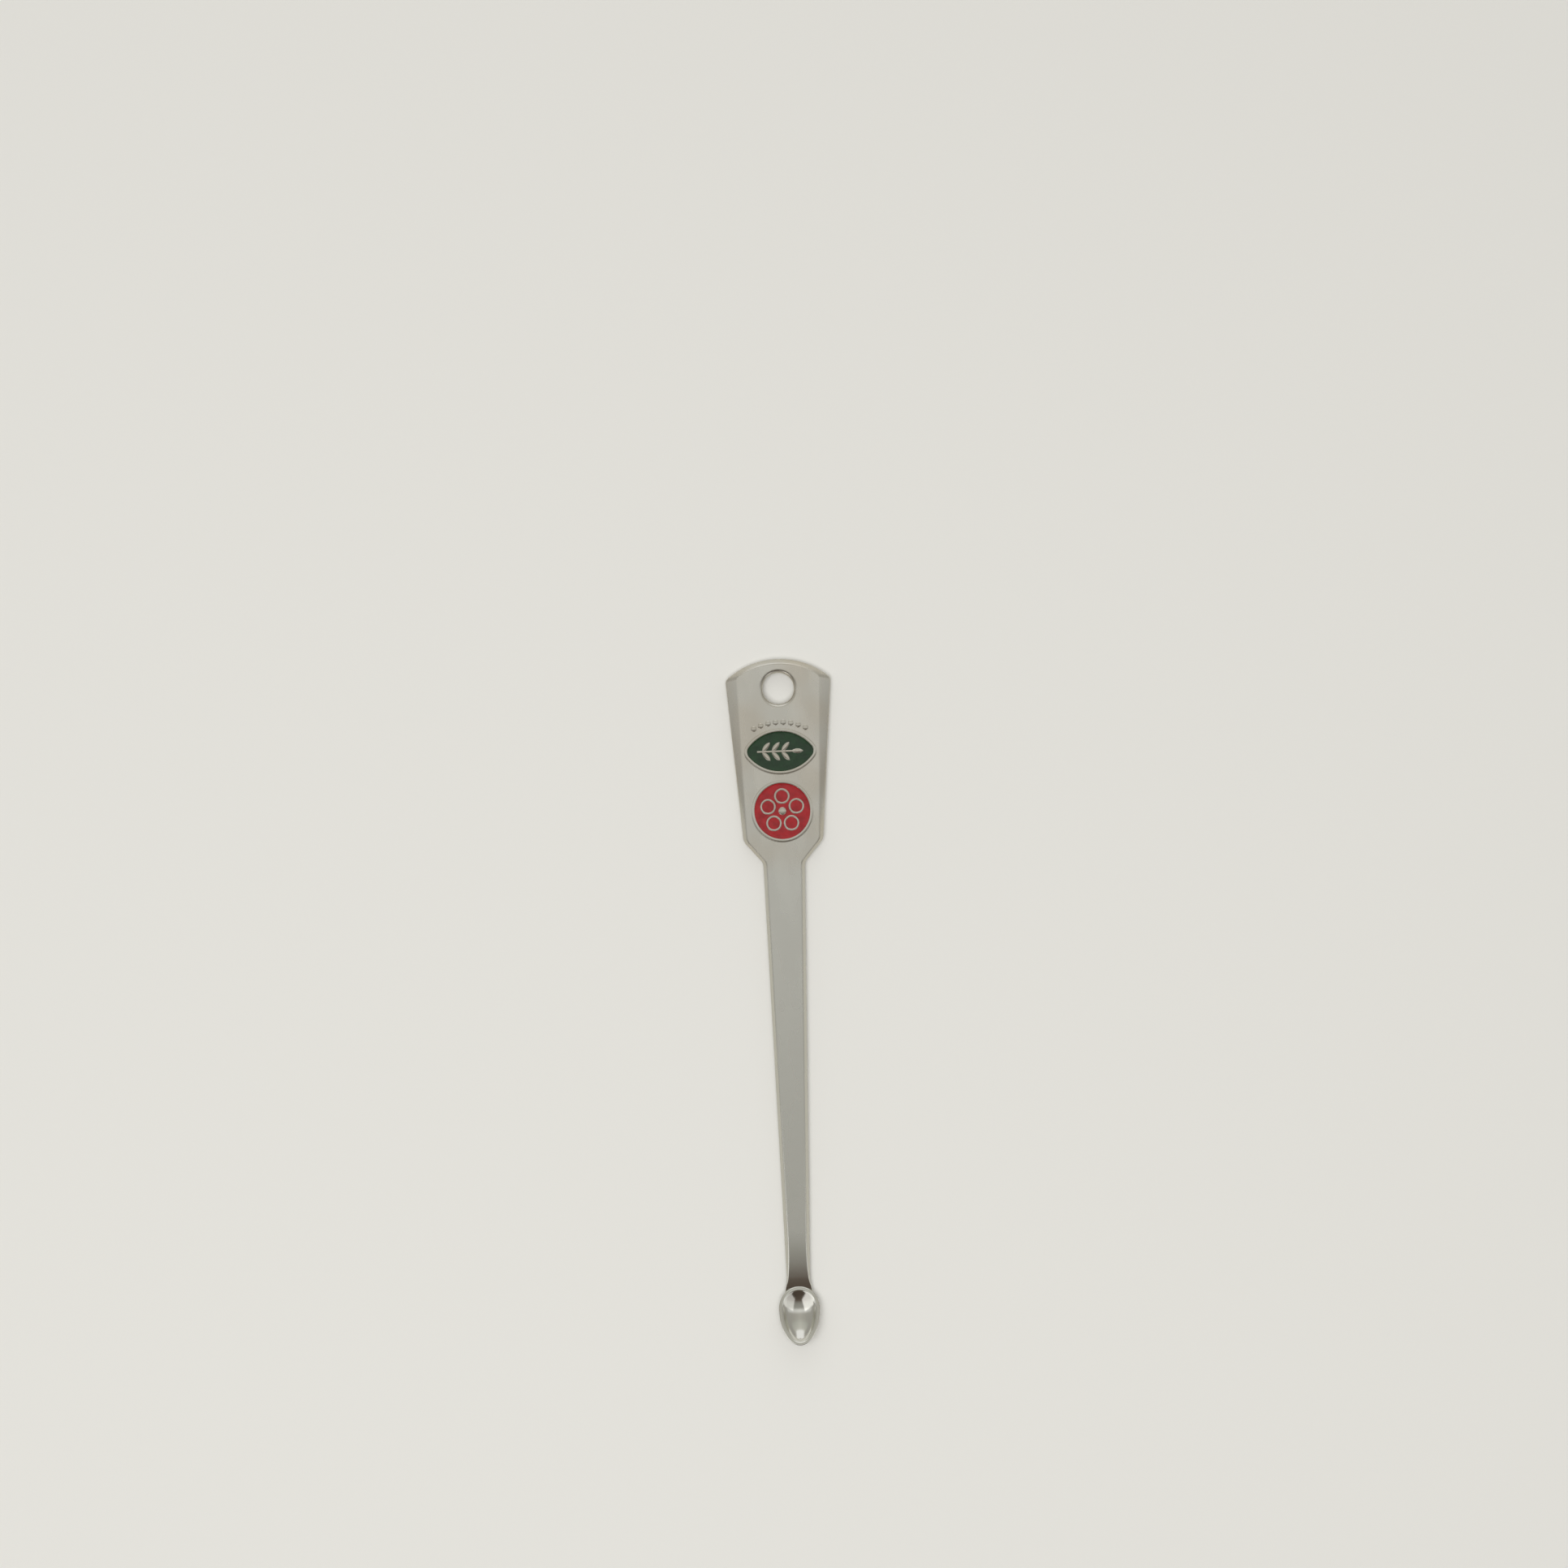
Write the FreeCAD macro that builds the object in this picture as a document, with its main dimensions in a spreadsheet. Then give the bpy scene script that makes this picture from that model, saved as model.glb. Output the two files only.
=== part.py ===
"""Metal ear pick: an arched tab with a hanging hole and two enamel cells, a tapering bevelled stem
and a small egg-shaped scoop. Millimetres. It lies on its back: +Y runs up to the tab, +Z faces the
front, and the origin is under the middle of the whole length."""

import FreeCAD, Part
import math
import os

import Sketcher

V = FreeCAD.Vector

SIZES = {
    # The struck blank
    "overall_length": 85.0,
    "metal_thickness": 1.5,
    "bevel_height": 0.6,
    "back_edge_round": 0.2,
    # Tab: an arched head that narrows towards the shoulders
    "tab_length": 22.5,
    "tab_top_width": 13.04,
    "tab_foot_width": 9.88,
    "arch_rise": 2.5,
    "tab_corner_round": 0.7,
    # Shoulders and stem
    "shoulder_length": 2.75,
    "shoulder_round": 1.2,
    "stem_root_round": 1.5,
    "stem_top_width": 5.16,
    # Width of the bevel all round the front, seen from the front
    "arch_bevel": 0.55,
    "arch_corner_bevel": 0.3,
    "tab_top_bevel": 1.37,
    "tab_foot_bevel": 0.45,
    "stem_top_bevel": 0.42,
    "neck_bevel": 0.4,
    # Hanging hole
    "hole_diameter": 3.9,
    "hole_from_top": 3.65,
    "hole_front_round": 0.45,
    "hole_back_chamfer": 0.15,
    # Enamel cells and the metal lines that stand in them
    "rim_width": 0.35,
    "relief_height": 0.1,
    "recess_depth": 0.35,
    "enamel_drop": 0.05,
    "oval_from_top": 11.45,
    "oval_length": 8.2,
    "oval_width": 4.9,
    "oval_end_round": 0.9,
    "disc_from_top": 18.85,
    "disc_diameter": 6.9,
    # Blossom in the round cell
    "petal_count": 5,
    "petal_offset": 1.85,
    "petal_diameter": 1.96,
    "petal_line": 0.26,
    "blossom_eye_diameter": 1.0,
    # Twig in the oval cell
    "twig_line": 0.24,
    "leaf_length": 1.55,
    "leaf_width": 0.56,
    "leaf_angle": 48.0,
    "leaf_pitch": 1.2,
    "leaf_pairs": 3,
    # Arched row of beads above the oval cell
    "bead_diameter": 0.7,
    "bead_row_radius": 7.3,
    "bead_row_angle": 52.0,
    "bead_count": 8,
    "bead_gap": 1.15,
    # Neck: the front dips, the back grows round and the sides flare on the way into the scoop
    "neck_width": 2.85,
    "neck_dip_length": 8.3,
    "neck_dip": 0.96,
    "neck_keel_length": 6.8,
    "neck_lift": 0.18,
    "neck_overlap": 2.05,
    "neck_flare_length": 2.7,
    "neck_flare_width": 3.95,
    "neck_flare_round": 1.5,
    # Scoop: a shallow egg-shaped cup, tilted up towards its tip
    "cup_width": 5.2,
    "cup_depth": 1.6,
    "cup_wall": 0.5,
    "cup_tip_reach": 4.5,
    "cup_neck_reach": 2.75,
    "cup_tilt": 15.0,
    "cup_rim_chamfer": 0.12,
}

# Places and fits that follow from the sizes above
FOLLOWING = {
    "top_at": "=overall_length / 2",
    "arch_foot_at": "=top_at - arch_rise",
    "tab_foot_at": "=top_at - tab_length",
    "stem_top_at": "=tab_foot_at - shoulder_length",
    "cup_at": "=cup_tip_reach - overall_length / 2",
    "bar_end_at": "=cup_at + cup_neck_reach - neck_overlap",
    "neck_at": "=bar_end_at + neck_flare_length",
    "tab_top_half": "=tab_top_width / 2",
    "tab_foot_half": "=tab_foot_width / 2",
    "stem_top_half": "=stem_top_width / 2",
    "neck_half": "=neck_width / 2",
    "flare_half": "=neck_flare_width / 2",
    "arch_radius": "=(tab_top_half * tab_top_half + arch_rise * arch_rise) / (2 * arch_rise)",
    "flat_foot_at": "=arch_foot_at + arch_corner_bevel",
    "flat_rise": "=arch_rise - arch_bevel - arch_corner_bevel",
    "flat_top_half": "=tab_top_half - tab_top_bevel",
    "flat_foot_half": "=tab_foot_half - tab_foot_bevel",
    "flat_stem_half": "=stem_top_half - stem_top_bevel",
    "flat_neck_half": "=neck_half - neck_bevel",
    "flat_flare_half": "=flare_half - neck_bevel",
    "flat_arch_radius": "=(flat_top_half * flat_top_half + flat_rise * flat_rise) / (2 * flat_rise)",
    "bevel_foot": "=metal_thickness - bevel_height",
    "side_form_width": "=tab_top_width * 2",
    "dip_from": "=bar_end_at + neck_dip_length",
    "dip_to": "=metal_thickness - neck_dip",
    "keel_from": "=bar_end_at + neck_keel_length",
    "keel_side_foot": "=neck_lift + cup_depth",
    "hole_radius": "=hole_diameter / 2",
    "hole_at": "=top_at - hole_from_top",
    "oval_at": "=top_at - oval_from_top",
    "disc_at": "=top_at - disc_from_top",
    "rim_top": "=metal_thickness + relief_height",
    "recess_floor": "=metal_thickness - recess_depth",
    "line_height": "=recess_depth + relief_height",
    "disc_radius": "=disc_diameter / 2",
    "disc_rim_radius": "=disc_radius + rim_width",
    "disc_block_radius": "=disc_radius + rim_width / 2",
    "oval_half": "=oval_length / 2",
    "oval_half_width": "=oval_width / 2",
    "oval_end_at": "=oval_half - oval_end_round",
    "oval_side_radius": "=(oval_half_width * oval_half_width + oval_end_at * oval_end_at"
    " - oval_end_round * oval_end_round) / (2 * (oval_half_width - oval_end_round))",
    "oval_rim_end_round": "=oval_end_round + rim_width",
    "oval_rim_side_radius": "=oval_side_radius + rim_width",
    "oval_block_end_round": "=oval_end_round + rim_width / 2",
    "oval_block_side_radius": "=oval_side_radius + rim_width / 2",
    "petal_radius": "=petal_diameter / 2",
    "petal_inner_radius": "=petal_radius - petal_line",
    "blossom_eye_radius": "=blossom_eye_diameter / 2",
    "leaf_half_width": "=leaf_width / 2",
    "leaf_side_radius": "=(leaf_length * leaf_length / 4 + leaf_half_width * leaf_half_width) / leaf_width",
    "twig_start": "=0 - (leaf_pitch * (leaf_pairs + 0.5) + leaf_length) / 2",
    "leaf_start": "=twig_start + leaf_pitch / 2",
    "leaf_run": "=leaf_pitch * (leaf_pairs - 1)",
    "end_leaf_at": "=leaf_start + leaf_pitch * leaf_pairs",
    "twig_end": "=end_leaf_at + leaf_length / 4",
    "twig_half": "=twig_line / 2",
    "bead_radius": "=bead_diameter / 2",
    "bead_centre_at": "=oval_at + oval_half_width + bead_gap - bead_row_radius",
    "bead_first_turn": "=0 - bead_row_angle / 2",
    "enamel_block_floor": "=recess_floor - recess_depth / 2",
    "enamel_block_height": "=line_height - enamel_drop + recess_depth / 2",
    "cup_half": "=cup_width / 2",
    "cup_arc_radius": "=(cup_half * cup_half + cup_depth * cup_depth) / (2 * cup_depth)",
    "cup_neck_stretch": "=cup_neck_reach / cos(cup_tilt) / cup_half",
    "cup_tip_stretch": "=cup_tip_reach / cos(cup_tilt) / cup_half",
    "bowl_half": "=cup_half - cup_wall",
    "bowl_depth": "=cup_depth - cup_wall",
    "bowl_neck_stretch": "=(cup_neck_reach / cos(cup_tilt) - cup_wall) / bowl_half",
    "bowl_tip_stretch": "=(cup_tip_reach / cos(cup_tilt) - cup_wall) / bowl_half",
    # The heel, where the tilted cup touches the table, lies this far round the cup's arc
    "heel_angle": "=atan(cup_neck_stretch * tan(cup_tilt)) / 1deg",
    "cup_rim_at": "=(cup_depth - cup_arc_radius * (1 - cos(heel_angle))) * cos(cup_tilt)"
    " + cup_neck_stretch * cup_arc_radius * sin(heel_angle) * sin(cup_tilt)",
}

# Radii of the ends and sides of the oval cell, of its raised rim, and of its block of enamel
OVAL_CELL = ("oval_end_round", "oval_side_radius")
OVAL_RIM = ("oval_rim_end_round", "oval_rim_side_radius")
OVAL_BLOCK = ("oval_block_end_round", "oval_block_side_radius")
NODES = ("pick_body", "green_enamel", "red_enamel")

doc = FreeCAD.newDocument("ear_pick")


def make_sheet():
    """The sheet of sizes: plain numbers first, then the places worked out from them."""
    sheet = doc.addObject("Spreadsheet::Sheet", "sizes")
    for row, (name, content) in enumerate({**SIZES, **FOLLOWING}.items(), start=1):
        sheet.set(f"A{row}", name)
        sheet.set(f"B{row}", str(content))
        sheet.setAlias(f"B{row}", name)
    doc.recompute()
    return sheet


sheet = make_sheet()


def size(cell):
    """The value of a cell, or of its negative, or of a plain number."""
    if isinstance(cell, str):
        return -size(cell[1:]) if cell.startswith("-") else float(sheet.get(cell))
    return float(cell)


def bind(thing, path, cell):
    """Tie a property, or a numbered constraint of a sketch, to a cell or to its negative."""
    path = path if isinstance(path, str) else f"Constraints[{path}]"
    thing.setExpression(path, f"-sizes.{cell[1:]}" if cell.startswith("-") else f"sizes.{cell}")


def origin_part(body, role):
    return next(part for part in body.Origin.OriginFeatures if part.Role == role)


def new_body(label):
    body = doc.addObject("PartDesign::Body", label)
    body.Label = label
    return body


def new_sketch(body, name, plane="XY_Plane", x=None, y=None, height=None, turn=None):
    """A sketch on one of the body's own planes, moved, raised and turned there by cells."""
    sketch = body.newObject("Sketcher::SketchObject", name)
    sketch.AttachmentSupport = [(origin_part(body, plane), "")]
    sketch.MapMode = "FlatFace"
    if turn:
        sketch.AttachmentOffset = FreeCAD.Placement(V(), FreeCAD.Rotation(V(0, 0, 1), size(turn)))
        bind(sketch, "AttachmentOffset.Rotation.Angle", turn)
    for axis, cell in (("x", x), ("y", y), ("z", height)):
        if cell:
            bind(sketch, f"AttachmentOffset.Base.{axis}", cell)
    return sketch


def constrain(sketch, kind, *where, cell=None):
    """A constraint, and with a cell a dimension that takes its value from it."""
    if cell is None:
        sketch.addConstraint(Sketcher.Constraint(kind, *where))
    else:
        bind(sketch, sketch.addConstraint(Sketcher.Constraint(kind, *where, size(cell))), cell)


def place_point(sketch, edge, end, x, y):
    """Hold one end of an edge at two cells. None stands for a place on the axis."""
    for kind, axis, cell in (("DistanceX", -2, x), ("DistanceY", -1, y)):
        if cell is None:
            constrain(sketch, "PointOnObject", edge, end, axis)
        else:
            constrain(sketch, kind, edge, end, cell=cell)


def add_line(sketch, start, end):
    return sketch.addGeometry(Part.LineSegment(V(*start), V(*end)), False)


def add_arc(sketch, start, middle, end):
    """An arc that runs anticlockwise from start to end."""
    return sketch.addGeometry(Part.Arc(V(*start), V(*middle), V(*end)), False)


def add_circle(sketch, radius, up=None):
    """A circle about the sketch's origin, or about a point up its Y axis."""
    middle = V(0, size(up) if up else 0.0)
    circle = sketch.addGeometry(Part.Circle(middle, V(0, 0, 1), size(radius)), False)
    constrain(sketch, "Radius", circle, cell=radius)
    place_point(sketch, circle, 3, None, up)


def join_ends(sketch, count, smooth=()):
    """Close a loop of edges. After those in smooth the outline runs on without a corner."""
    for edge in range(count):
        kind = "Tangent" if edge in smooth else "Coincident"
        constrain(sketch, kind, edge, 2, (edge + 1) % count, 1)


def extrude(body, sketch, name, length, kind="Pad", both_ways=False):
    """A Pad, or a Pocket, whose length is a cell."""
    feature = body.newObject(f"PartDesign::{kind}", name)
    feature.Profile = sketch
    feature.Midplane = both_ways
    bind(feature, "Length", length)
    sketch.Visibility = False
    doc.recompute()
    base = feature.BaseFeature
    change = feature.Shape.Volume - (base.Shape.Volume if base else 0.0)
    if (change > 0) != (kind == "Pad"):
        raise RuntimeError(f"{name} changes the volume by {change}")
    return feature


def round_edges(body, name, base, edges, radius):
    feature = body.newObject("PartDesign::Fillet", name)
    feature.Base = (base, edges)
    bind(feature, "Radius", radius)
    doc.recompute()
    return feature


def chamfer_edges(body, name, base, edges, width):
    feature = body.newObject("PartDesign::Chamfer", name)
    feature.Base = (base, edges)
    bind(feature, "Size", width)
    doc.recompute()
    return feature


def edges_where(feature, test):
    """Names of the edges of a feature that pass a test."""
    edges = enumerate(feature.Shape.Edges, start=1)
    return [f"Edge{number}" for number, edge in edges if not edge.Degenerated and test(edge)]


def middle_of(edge):
    return edge.valueAt(sum(edge.ParameterRange) / 2)


def is_level(edge, height):
    heights = [vertex.Z for vertex in edge.Vertexes] + [middle_of(edge).z]
    return all(abs(z - height) < 1e-6 for z in heights)


def is_beside(point, spot):
    """True at a spot in the plan, on either side of the middle."""
    return math.dist((abs(point.x), point.y), spot) < 1e-4


def boolean(kind, name, *things):
    """Part::Cut of two things, or Part::MultiFuse or Part::MultiCommon of several."""
    result = doc.addObject(f"Part::{kind}", name)
    if kind == "Cut":
        result.Base, result.Tool = things
    else:
        result.Shapes = list(things)
    doc.recompute()
    return result


def plan_outline(body, name, height, halves, foot_at, rise, arch_radius):
    """The front view from the arch down to the neck's end, the same on both sides."""
    sketch = new_sketch(body, name, height=height)
    levels = (foot_at, "tab_foot_at", "stem_top_at", "neck_at", "bar_end_at")
    right = [(size(half), size(level)) for half, level in zip(halves, levels)]
    down_left = [(-x, y) for x, y in right]
    corners = down_left + right[::-1]
    arch = add_arc(sketch, right[0], (0.0, size(foot_at) + size(rise)), down_left[0])
    for start, end in zip(corners, corners[1:]):
        add_line(sketch, start, end)
    join_ends(sketch, len(corners))
    constrain(sketch, "Radius", arch, cell=arch_radius)
    for step, (half, level) in enumerate(zip(halves, levels)):
        left_line, right_line = 1 + step, len(corners) - 1 - step
        place_point(sketch, right_line, 2, half, level)
        constrain(sketch, "Symmetric", left_line, 1, right_line, 2, -2)
    return sketch


def outer_outline(body, name, height=None):
    halves = ("tab_top_half", "tab_foot_half", "stem_top_half", "neck_half", "flare_half")
    return plan_outline(body, name, height, halves, "arch_foot_at", "arch_rise", "arch_radius")


def flat_outline(body, name, height):
    halves = ("flat_top_half", "flat_foot_half", "flat_stem_half", "flat_neck_half", "flat_flare_half")
    return plan_outline(body, name, height, halves, "flat_foot_at", "flat_rise", "flat_arch_radius")


def make_plan_form():
    """The outline through the whole thickness, with its corners rounded."""
    body = new_body("plan_form")
    form = extrude(body, outer_outline(body, "plan_sketch"), "plan_pad", "metal_thickness")
    rounds = (
        ("tab_corner_round", "tab_top_half", "arch_foot_at"),
        ("shoulder_round", "tab_foot_half", "tab_foot_at"),
        ("stem_root_round", "stem_top_half", "stem_top_at"),
        ("neck_flare_round", "neck_half", "neck_at"),
    )
    for radius, half, level in rounds:
        spot = (size(half), size(level))
        edges = edges_where(form, lambda edge: is_beside(middle_of(edge), spot))
        form = round_edges(body, f"{radius}_fillet", form, edges, radius)
    return body


def make_bevel_form():
    """Upright sides as far as the bevel's foot, then a ruled slope in to the flat front."""
    body = new_body("bevel_form")
    slab = extrude(body, outer_outline(body, "slab_sketch"), "slab_pad", "bevel_foot")
    end = size("bar_end_at")
    back = edges_where(slab, lambda edge: is_level(edge, 0.0) and middle_of(edge).y > end + 1e-6)
    round_edges(body, "back_edge_fillet", slab, back, "back_edge_round")
    slope = body.newObject("PartDesign::AdditiveLoft", "bevel_slope")
    slope.Profile = outer_outline(body, "slope_foot_sketch", height="bevel_foot")
    slope.Sections = [flat_outline(body, "slope_top_sketch", height="metal_thickness")]
    slope.Ruled = True
    doc.recompute()
    return body


def make_side_form():
    """The side view, wider than the blank: the front dips in an arc on its way to the scoop."""
    body = new_body("side_form")
    sketch = new_sketch(body, "side_sketch", plane="YZ_Plane")
    top, thick, end = size("top_at"), size("metal_thickness"), size("bar_end_at")
    dip_from, dip_to = size("dip_from"), size("dip_to")
    add_line(sketch, (end, 0.0), (top, 0.0))
    add_line(sketch, (top, 0.0), (top, thick))
    add_line(sketch, (top, thick), (dip_from, thick))
    add_arc(sketch, (dip_from, thick), ((end + dip_from) / 2, thick - (thick - dip_to) / 4), (end, dip_to))
    add_line(sketch, (end, dip_to), (end, 0.0))
    join_ends(sketch, 5, smooth=(2,))
    constrain(sketch, "Vertical", 1)
    constrain(sketch, "Horizontal", 2)
    place_point(sketch, 0, 1, "bar_end_at", None)
    constrain(sketch, "PointOnObject", 0, 2, -1)
    place_point(sketch, 2, 1, "top_at", "metal_thickness")
    constrain(sketch, "DistanceX", 3, 1, cell="dip_from")
    place_point(sketch, 4, 1, "bar_end_at", "dip_to")
    extrude(body, sketch, "side_pad", "side_form_width", both_ways=True)
    return body


def keel_section(body, name, along, side_foot, arc_radius=None):
    """A cross-section of the back form: upright sides, and a bottom that is flat or a round keel."""
    sketch = new_sketch(body, name, plane="XZ_Plane", height=f"-{along}")
    half, high = size("cup_half"), size("cup_width")
    foot = size(side_foot) if side_foot else 0.0
    if arc_radius:
        add_arc(sketch, (-half, foot), (0.0, size("neck_lift")), (half, foot))
    else:
        add_line(sketch, (-half, foot), (half, foot))
    add_line(sketch, (half, foot), (half, high))
    add_line(sketch, (half, high), (-half, high))
    add_line(sketch, (-half, high), (-half, foot))
    join_ends(sketch, 4)
    constrain(sketch, "Vertical", 1)
    constrain(sketch, "Horizontal", 2)
    place_point(sketch, 0, 1, "-cup_half", side_foot)
    place_point(sketch, 0, 2, "cup_half", side_foot)
    place_point(sketch, 2, 2, "-cup_half", "cup_width")
    if arc_radius:
        constrain(sketch, "Radius", 0, cell=arc_radius)
    return sketch


def make_back_form():
    """Flat under the tab and stem, then a keel that grows as round as the cup's own back."""
    body = new_body("back_form")
    sketch = new_sketch(body, "back_sketch", plane="YZ_Plane")
    start, top, high = size("keel_from"), size("top_at"), size("cup_width")
    add_line(sketch, (start, 0.0), (top, 0.0))
    add_line(sketch, (top, 0.0), (top, high))
    add_line(sketch, (top, high), (start, high))
    add_line(sketch, (start, high), (start, 0.0))
    join_ends(sketch, 4)
    constrain(sketch, "Vertical", 1)
    constrain(sketch, "Horizontal", 2)
    place_point(sketch, 0, 1, "keel_from", None)
    place_point(sketch, 0, 2, "top_at", None)
    place_point(sketch, 2, 2, "keel_from", "cup_width")
    extrude(body, sketch, "back_pad", "side_form_width", both_ways=True)
    keel = body.newObject("PartDesign::AdditiveLoft", "keel")
    keel.Profile = keel_section(body, "keel_start_sketch", "keel_from", None)
    keel.Sections = [keel_section(body, "keel_end_sketch", "bar_end_at", "keel_side_foot", "cup_arc_radius")]
    keel.Ruled = True
    doc.recompute()
    return body


def turn_cup_section(name, depth, half, corners=()):
    """A round cup or plug about Z: an arc up from the axis to the rim, corners, then back to the axis.
    Each corner is two cells, or None for a place on an axis."""
    body = new_body(name)
    sketch = new_sketch(body, f"{name}_sketch", plane="XZ_Plane")
    path = [(None, f"-{depth}"), (half, None), *corners]
    spots = [tuple(size(cell) if cell else 0.0 for cell in corner) for corner in path]
    low, rim = spots[0], spots[1]
    radius = (rim[0] ** 2 + low[1] ** 2) / (-2 * low[1])
    angle = math.asin(rim[0] / radius) / 2
    arc = add_arc(sketch, low, (radius * math.sin(angle), low[1] + radius * (1 - math.cos(angle))), rim)
    for start, end in zip(spots[1:], spots[2:] + spots[:1]):
        add_line(sketch, start, end)
    join_ends(sketch, len(path))
    constrain(sketch, "PointOnObject", arc, 3, -2)
    for edge, corner in enumerate(path):
        place_point(sketch, edge, 1, *corner)
    turned = body.newObject("PartDesign::Revolution", f"{name}_turned")
    turned.Profile = sketch
    turned.ReferenceAxis = (sketch, ["V_Axis"])
    turned.Angle = 360.0
    doc.recompute()
    return body, turned


def ease_rim(body, turned, half):
    """Chamfer the circle where a turned section meets the rim's plane."""
    reach = size(half)
    rim = edges_where(turned, lambda edge: is_level(edge, 0.0) and edge.Length > 6.0 * reach
                      and abs(math.hypot(middle_of(edge).x, middle_of(edge).y) - reach) < 1e-6)
    chamfer_edges(body, f"{body.Name}_chamfer", turned, rim, "cup_rim_chamfer")


def stretched_egg(name, body, neck_stretch, tip_stretch):
    """An egg made of a round body: each half stretched along Y by its own factor, then joined, and
    the whole tilted into its place at the end of the neck."""
    big = 4 * size("cup_width")
    halves = []
    for side, stretch in ((1, neck_stretch), (-1, tip_stretch)):
        block = Part.makeBox(2 * big, big, 2 * big, V(-big, 0 if side > 0 else -big, -big))
        matrix = FreeCAD.Matrix()
        matrix.scale(1, size(stretch), 1)
        halves.append(body.Shape.common(block).transformGeometry(matrix))
    egg = doc.addObject("Part::Feature", name)
    egg.Shape = halves[0].fuse(halves[1]).removeSplitter()
    egg.Placement = FreeCAD.Placement(V(), FreeCAD.Rotation(V(-1, 0, 0), size("cup_tilt")))
    bind(egg, "Placement.Rotation.Angle", "cup_tilt")
    bind(egg, "Placement.Base.y", "cup_at")
    bind(egg, "Placement.Base.z", "cup_rim_at")
    return egg


def make_cup():
    """The scoop's shell with its eased rim, and the plug that trims the neck where the bowl is."""
    cup_round, cup_turned = turn_cup_section("cup_round", "cup_depth", "cup_half", [(None, None)])
    ease_rim(cup_round, cup_turned, "cup_half")
    above = [("cup_width", None), ("cup_width", "cup_half"), (None, "cup_half")]
    bowl_round, bowl_turned = turn_cup_section("bowl_round", "bowl_depth", "bowl_half", above)
    ease_rim(bowl_round, bowl_turned, "bowl_half")
    straight_up = [("bowl_half", "cup_half"), (None, "cup_half")]
    plug_round, _ = turn_cup_section("plug_round", "bowl_depth", "bowl_half", straight_up)
    cup = stretched_egg("cup_egg", cup_round, "cup_neck_stretch", "cup_tip_stretch")
    bowl = stretched_egg("bowl_egg", bowl_round, "bowl_neck_stretch", "bowl_tip_stretch")
    plug = stretched_egg("plug_egg", plug_round, "bowl_neck_stretch", "bowl_tip_stretch")
    return boolean("Cut", "cup_shell", cup, bowl), plug


def disc_form(body, name, floor, radius, length, kind="Pad"):
    """A round Pad or Pocket about the middle of the round cell."""
    sketch = new_sketch(body, f"{name}_sketch", y="disc_at", height=floor)
    add_circle(sketch, radius)
    return extrude(body, sketch, name, length, kind)


def oval_form(body, name, floor, radii, length, kind="Pad"):
    """An oval Pad or Pocket of four arcs: long sides, and tight ends that run on into them."""
    sketch = new_sketch(body, f"{name}_sketch", y="oval_at", height=floor)
    end, side, centre = size(radii[0]), size(radii[1]), size("oval_end_at")
    reach = side - end
    drop = math.sqrt(reach**2 - centre**2)
    touch_x, touch_y = centre * side / reach, end * drop / reach
    for sign in (1, -1):
        x, y = sign * touch_x, sign * touch_y
        add_arc(sketch, (x, -y), (sign * (centre + end), 0.0), (x, y))
        add_arc(sketch, (x, y), (0.0, sign * (side - drop)), (-x, y))
    join_ends(sketch, 4, smooth=(0, 1, 2))
    for edge, axis in enumerate((-1, -2, -1)):
        constrain(sketch, "PointOnObject", edge, 3, axis)
    constrain(sketch, "Equal", 0, 2)
    constrain(sketch, "Equal", 1, 3)
    constrain(sketch, "Radius", 0, cell=radii[0])
    constrain(sketch, "Radius", 1, cell=radii[1])
    constrain(sketch, "DistanceX", 0, 3, cell="oval_end_at")
    return extrude(body, sketch, name, length, kind)


def repeat_round(body, name, feature, sketch, count, angle=None):
    """Repeat a feature about the origin of its sketch, over an angle or all the way round."""
    pattern = body.newObject("PartDesign::PolarPattern", name)
    pattern.Originals = [feature]
    pattern.Axis = (sketch, ["N_Axis"])
    pattern.Angle = 360.0
    if angle:
        bind(pattern, "Angle", angle)
    bind(pattern, "Occurrences", count)
    body.Tip = pattern
    doc.recompute()


def repeat_along(body, name, feature, run, count):
    """Repeat a feature along X over a run."""
    pattern = body.newObject("PartDesign::LinearPattern", name)
    pattern.Originals = [feature]
    pattern.Direction = (origin_part(body, "X_Axis"), [""])
    bind(pattern, "Length", run)
    bind(pattern, "Occurrences", count)
    body.Tip = pattern
    doc.recompute()


def sink_cells(body):
    """Raised metal round both enamel cells, then the cells themselves, down to their floors."""
    disc_form(body, "disc_rim", "metal_thickness", "disc_rim_radius", "relief_height")
    oval_form(body, "oval_rim", "metal_thickness", OVAL_RIM, "relief_height")
    disc_form(body, "disc_cell", "rim_top", "disc_radius", "line_height", "Pocket")
    oval_form(body, "oval_cell", "rim_top", OVAL_CELL, "line_height", "Pocket")


def raise_blossom(body):
    """Ring petals round an eye, standing on the round cell's floor."""
    sketch = new_sketch(body, "petal_sketch", y="disc_at", height="recess_floor")
    add_circle(sketch, "petal_radius", up="petal_offset")
    add_circle(sketch, "petal_inner_radius", up="petal_offset")
    petal = extrude(body, sketch, "petal", "line_height")
    repeat_round(body, "petals", petal, sketch, "petal_count")
    disc_form(body, "eye", "recess_floor", "blossom_eye_radius", "line_height")


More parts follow.
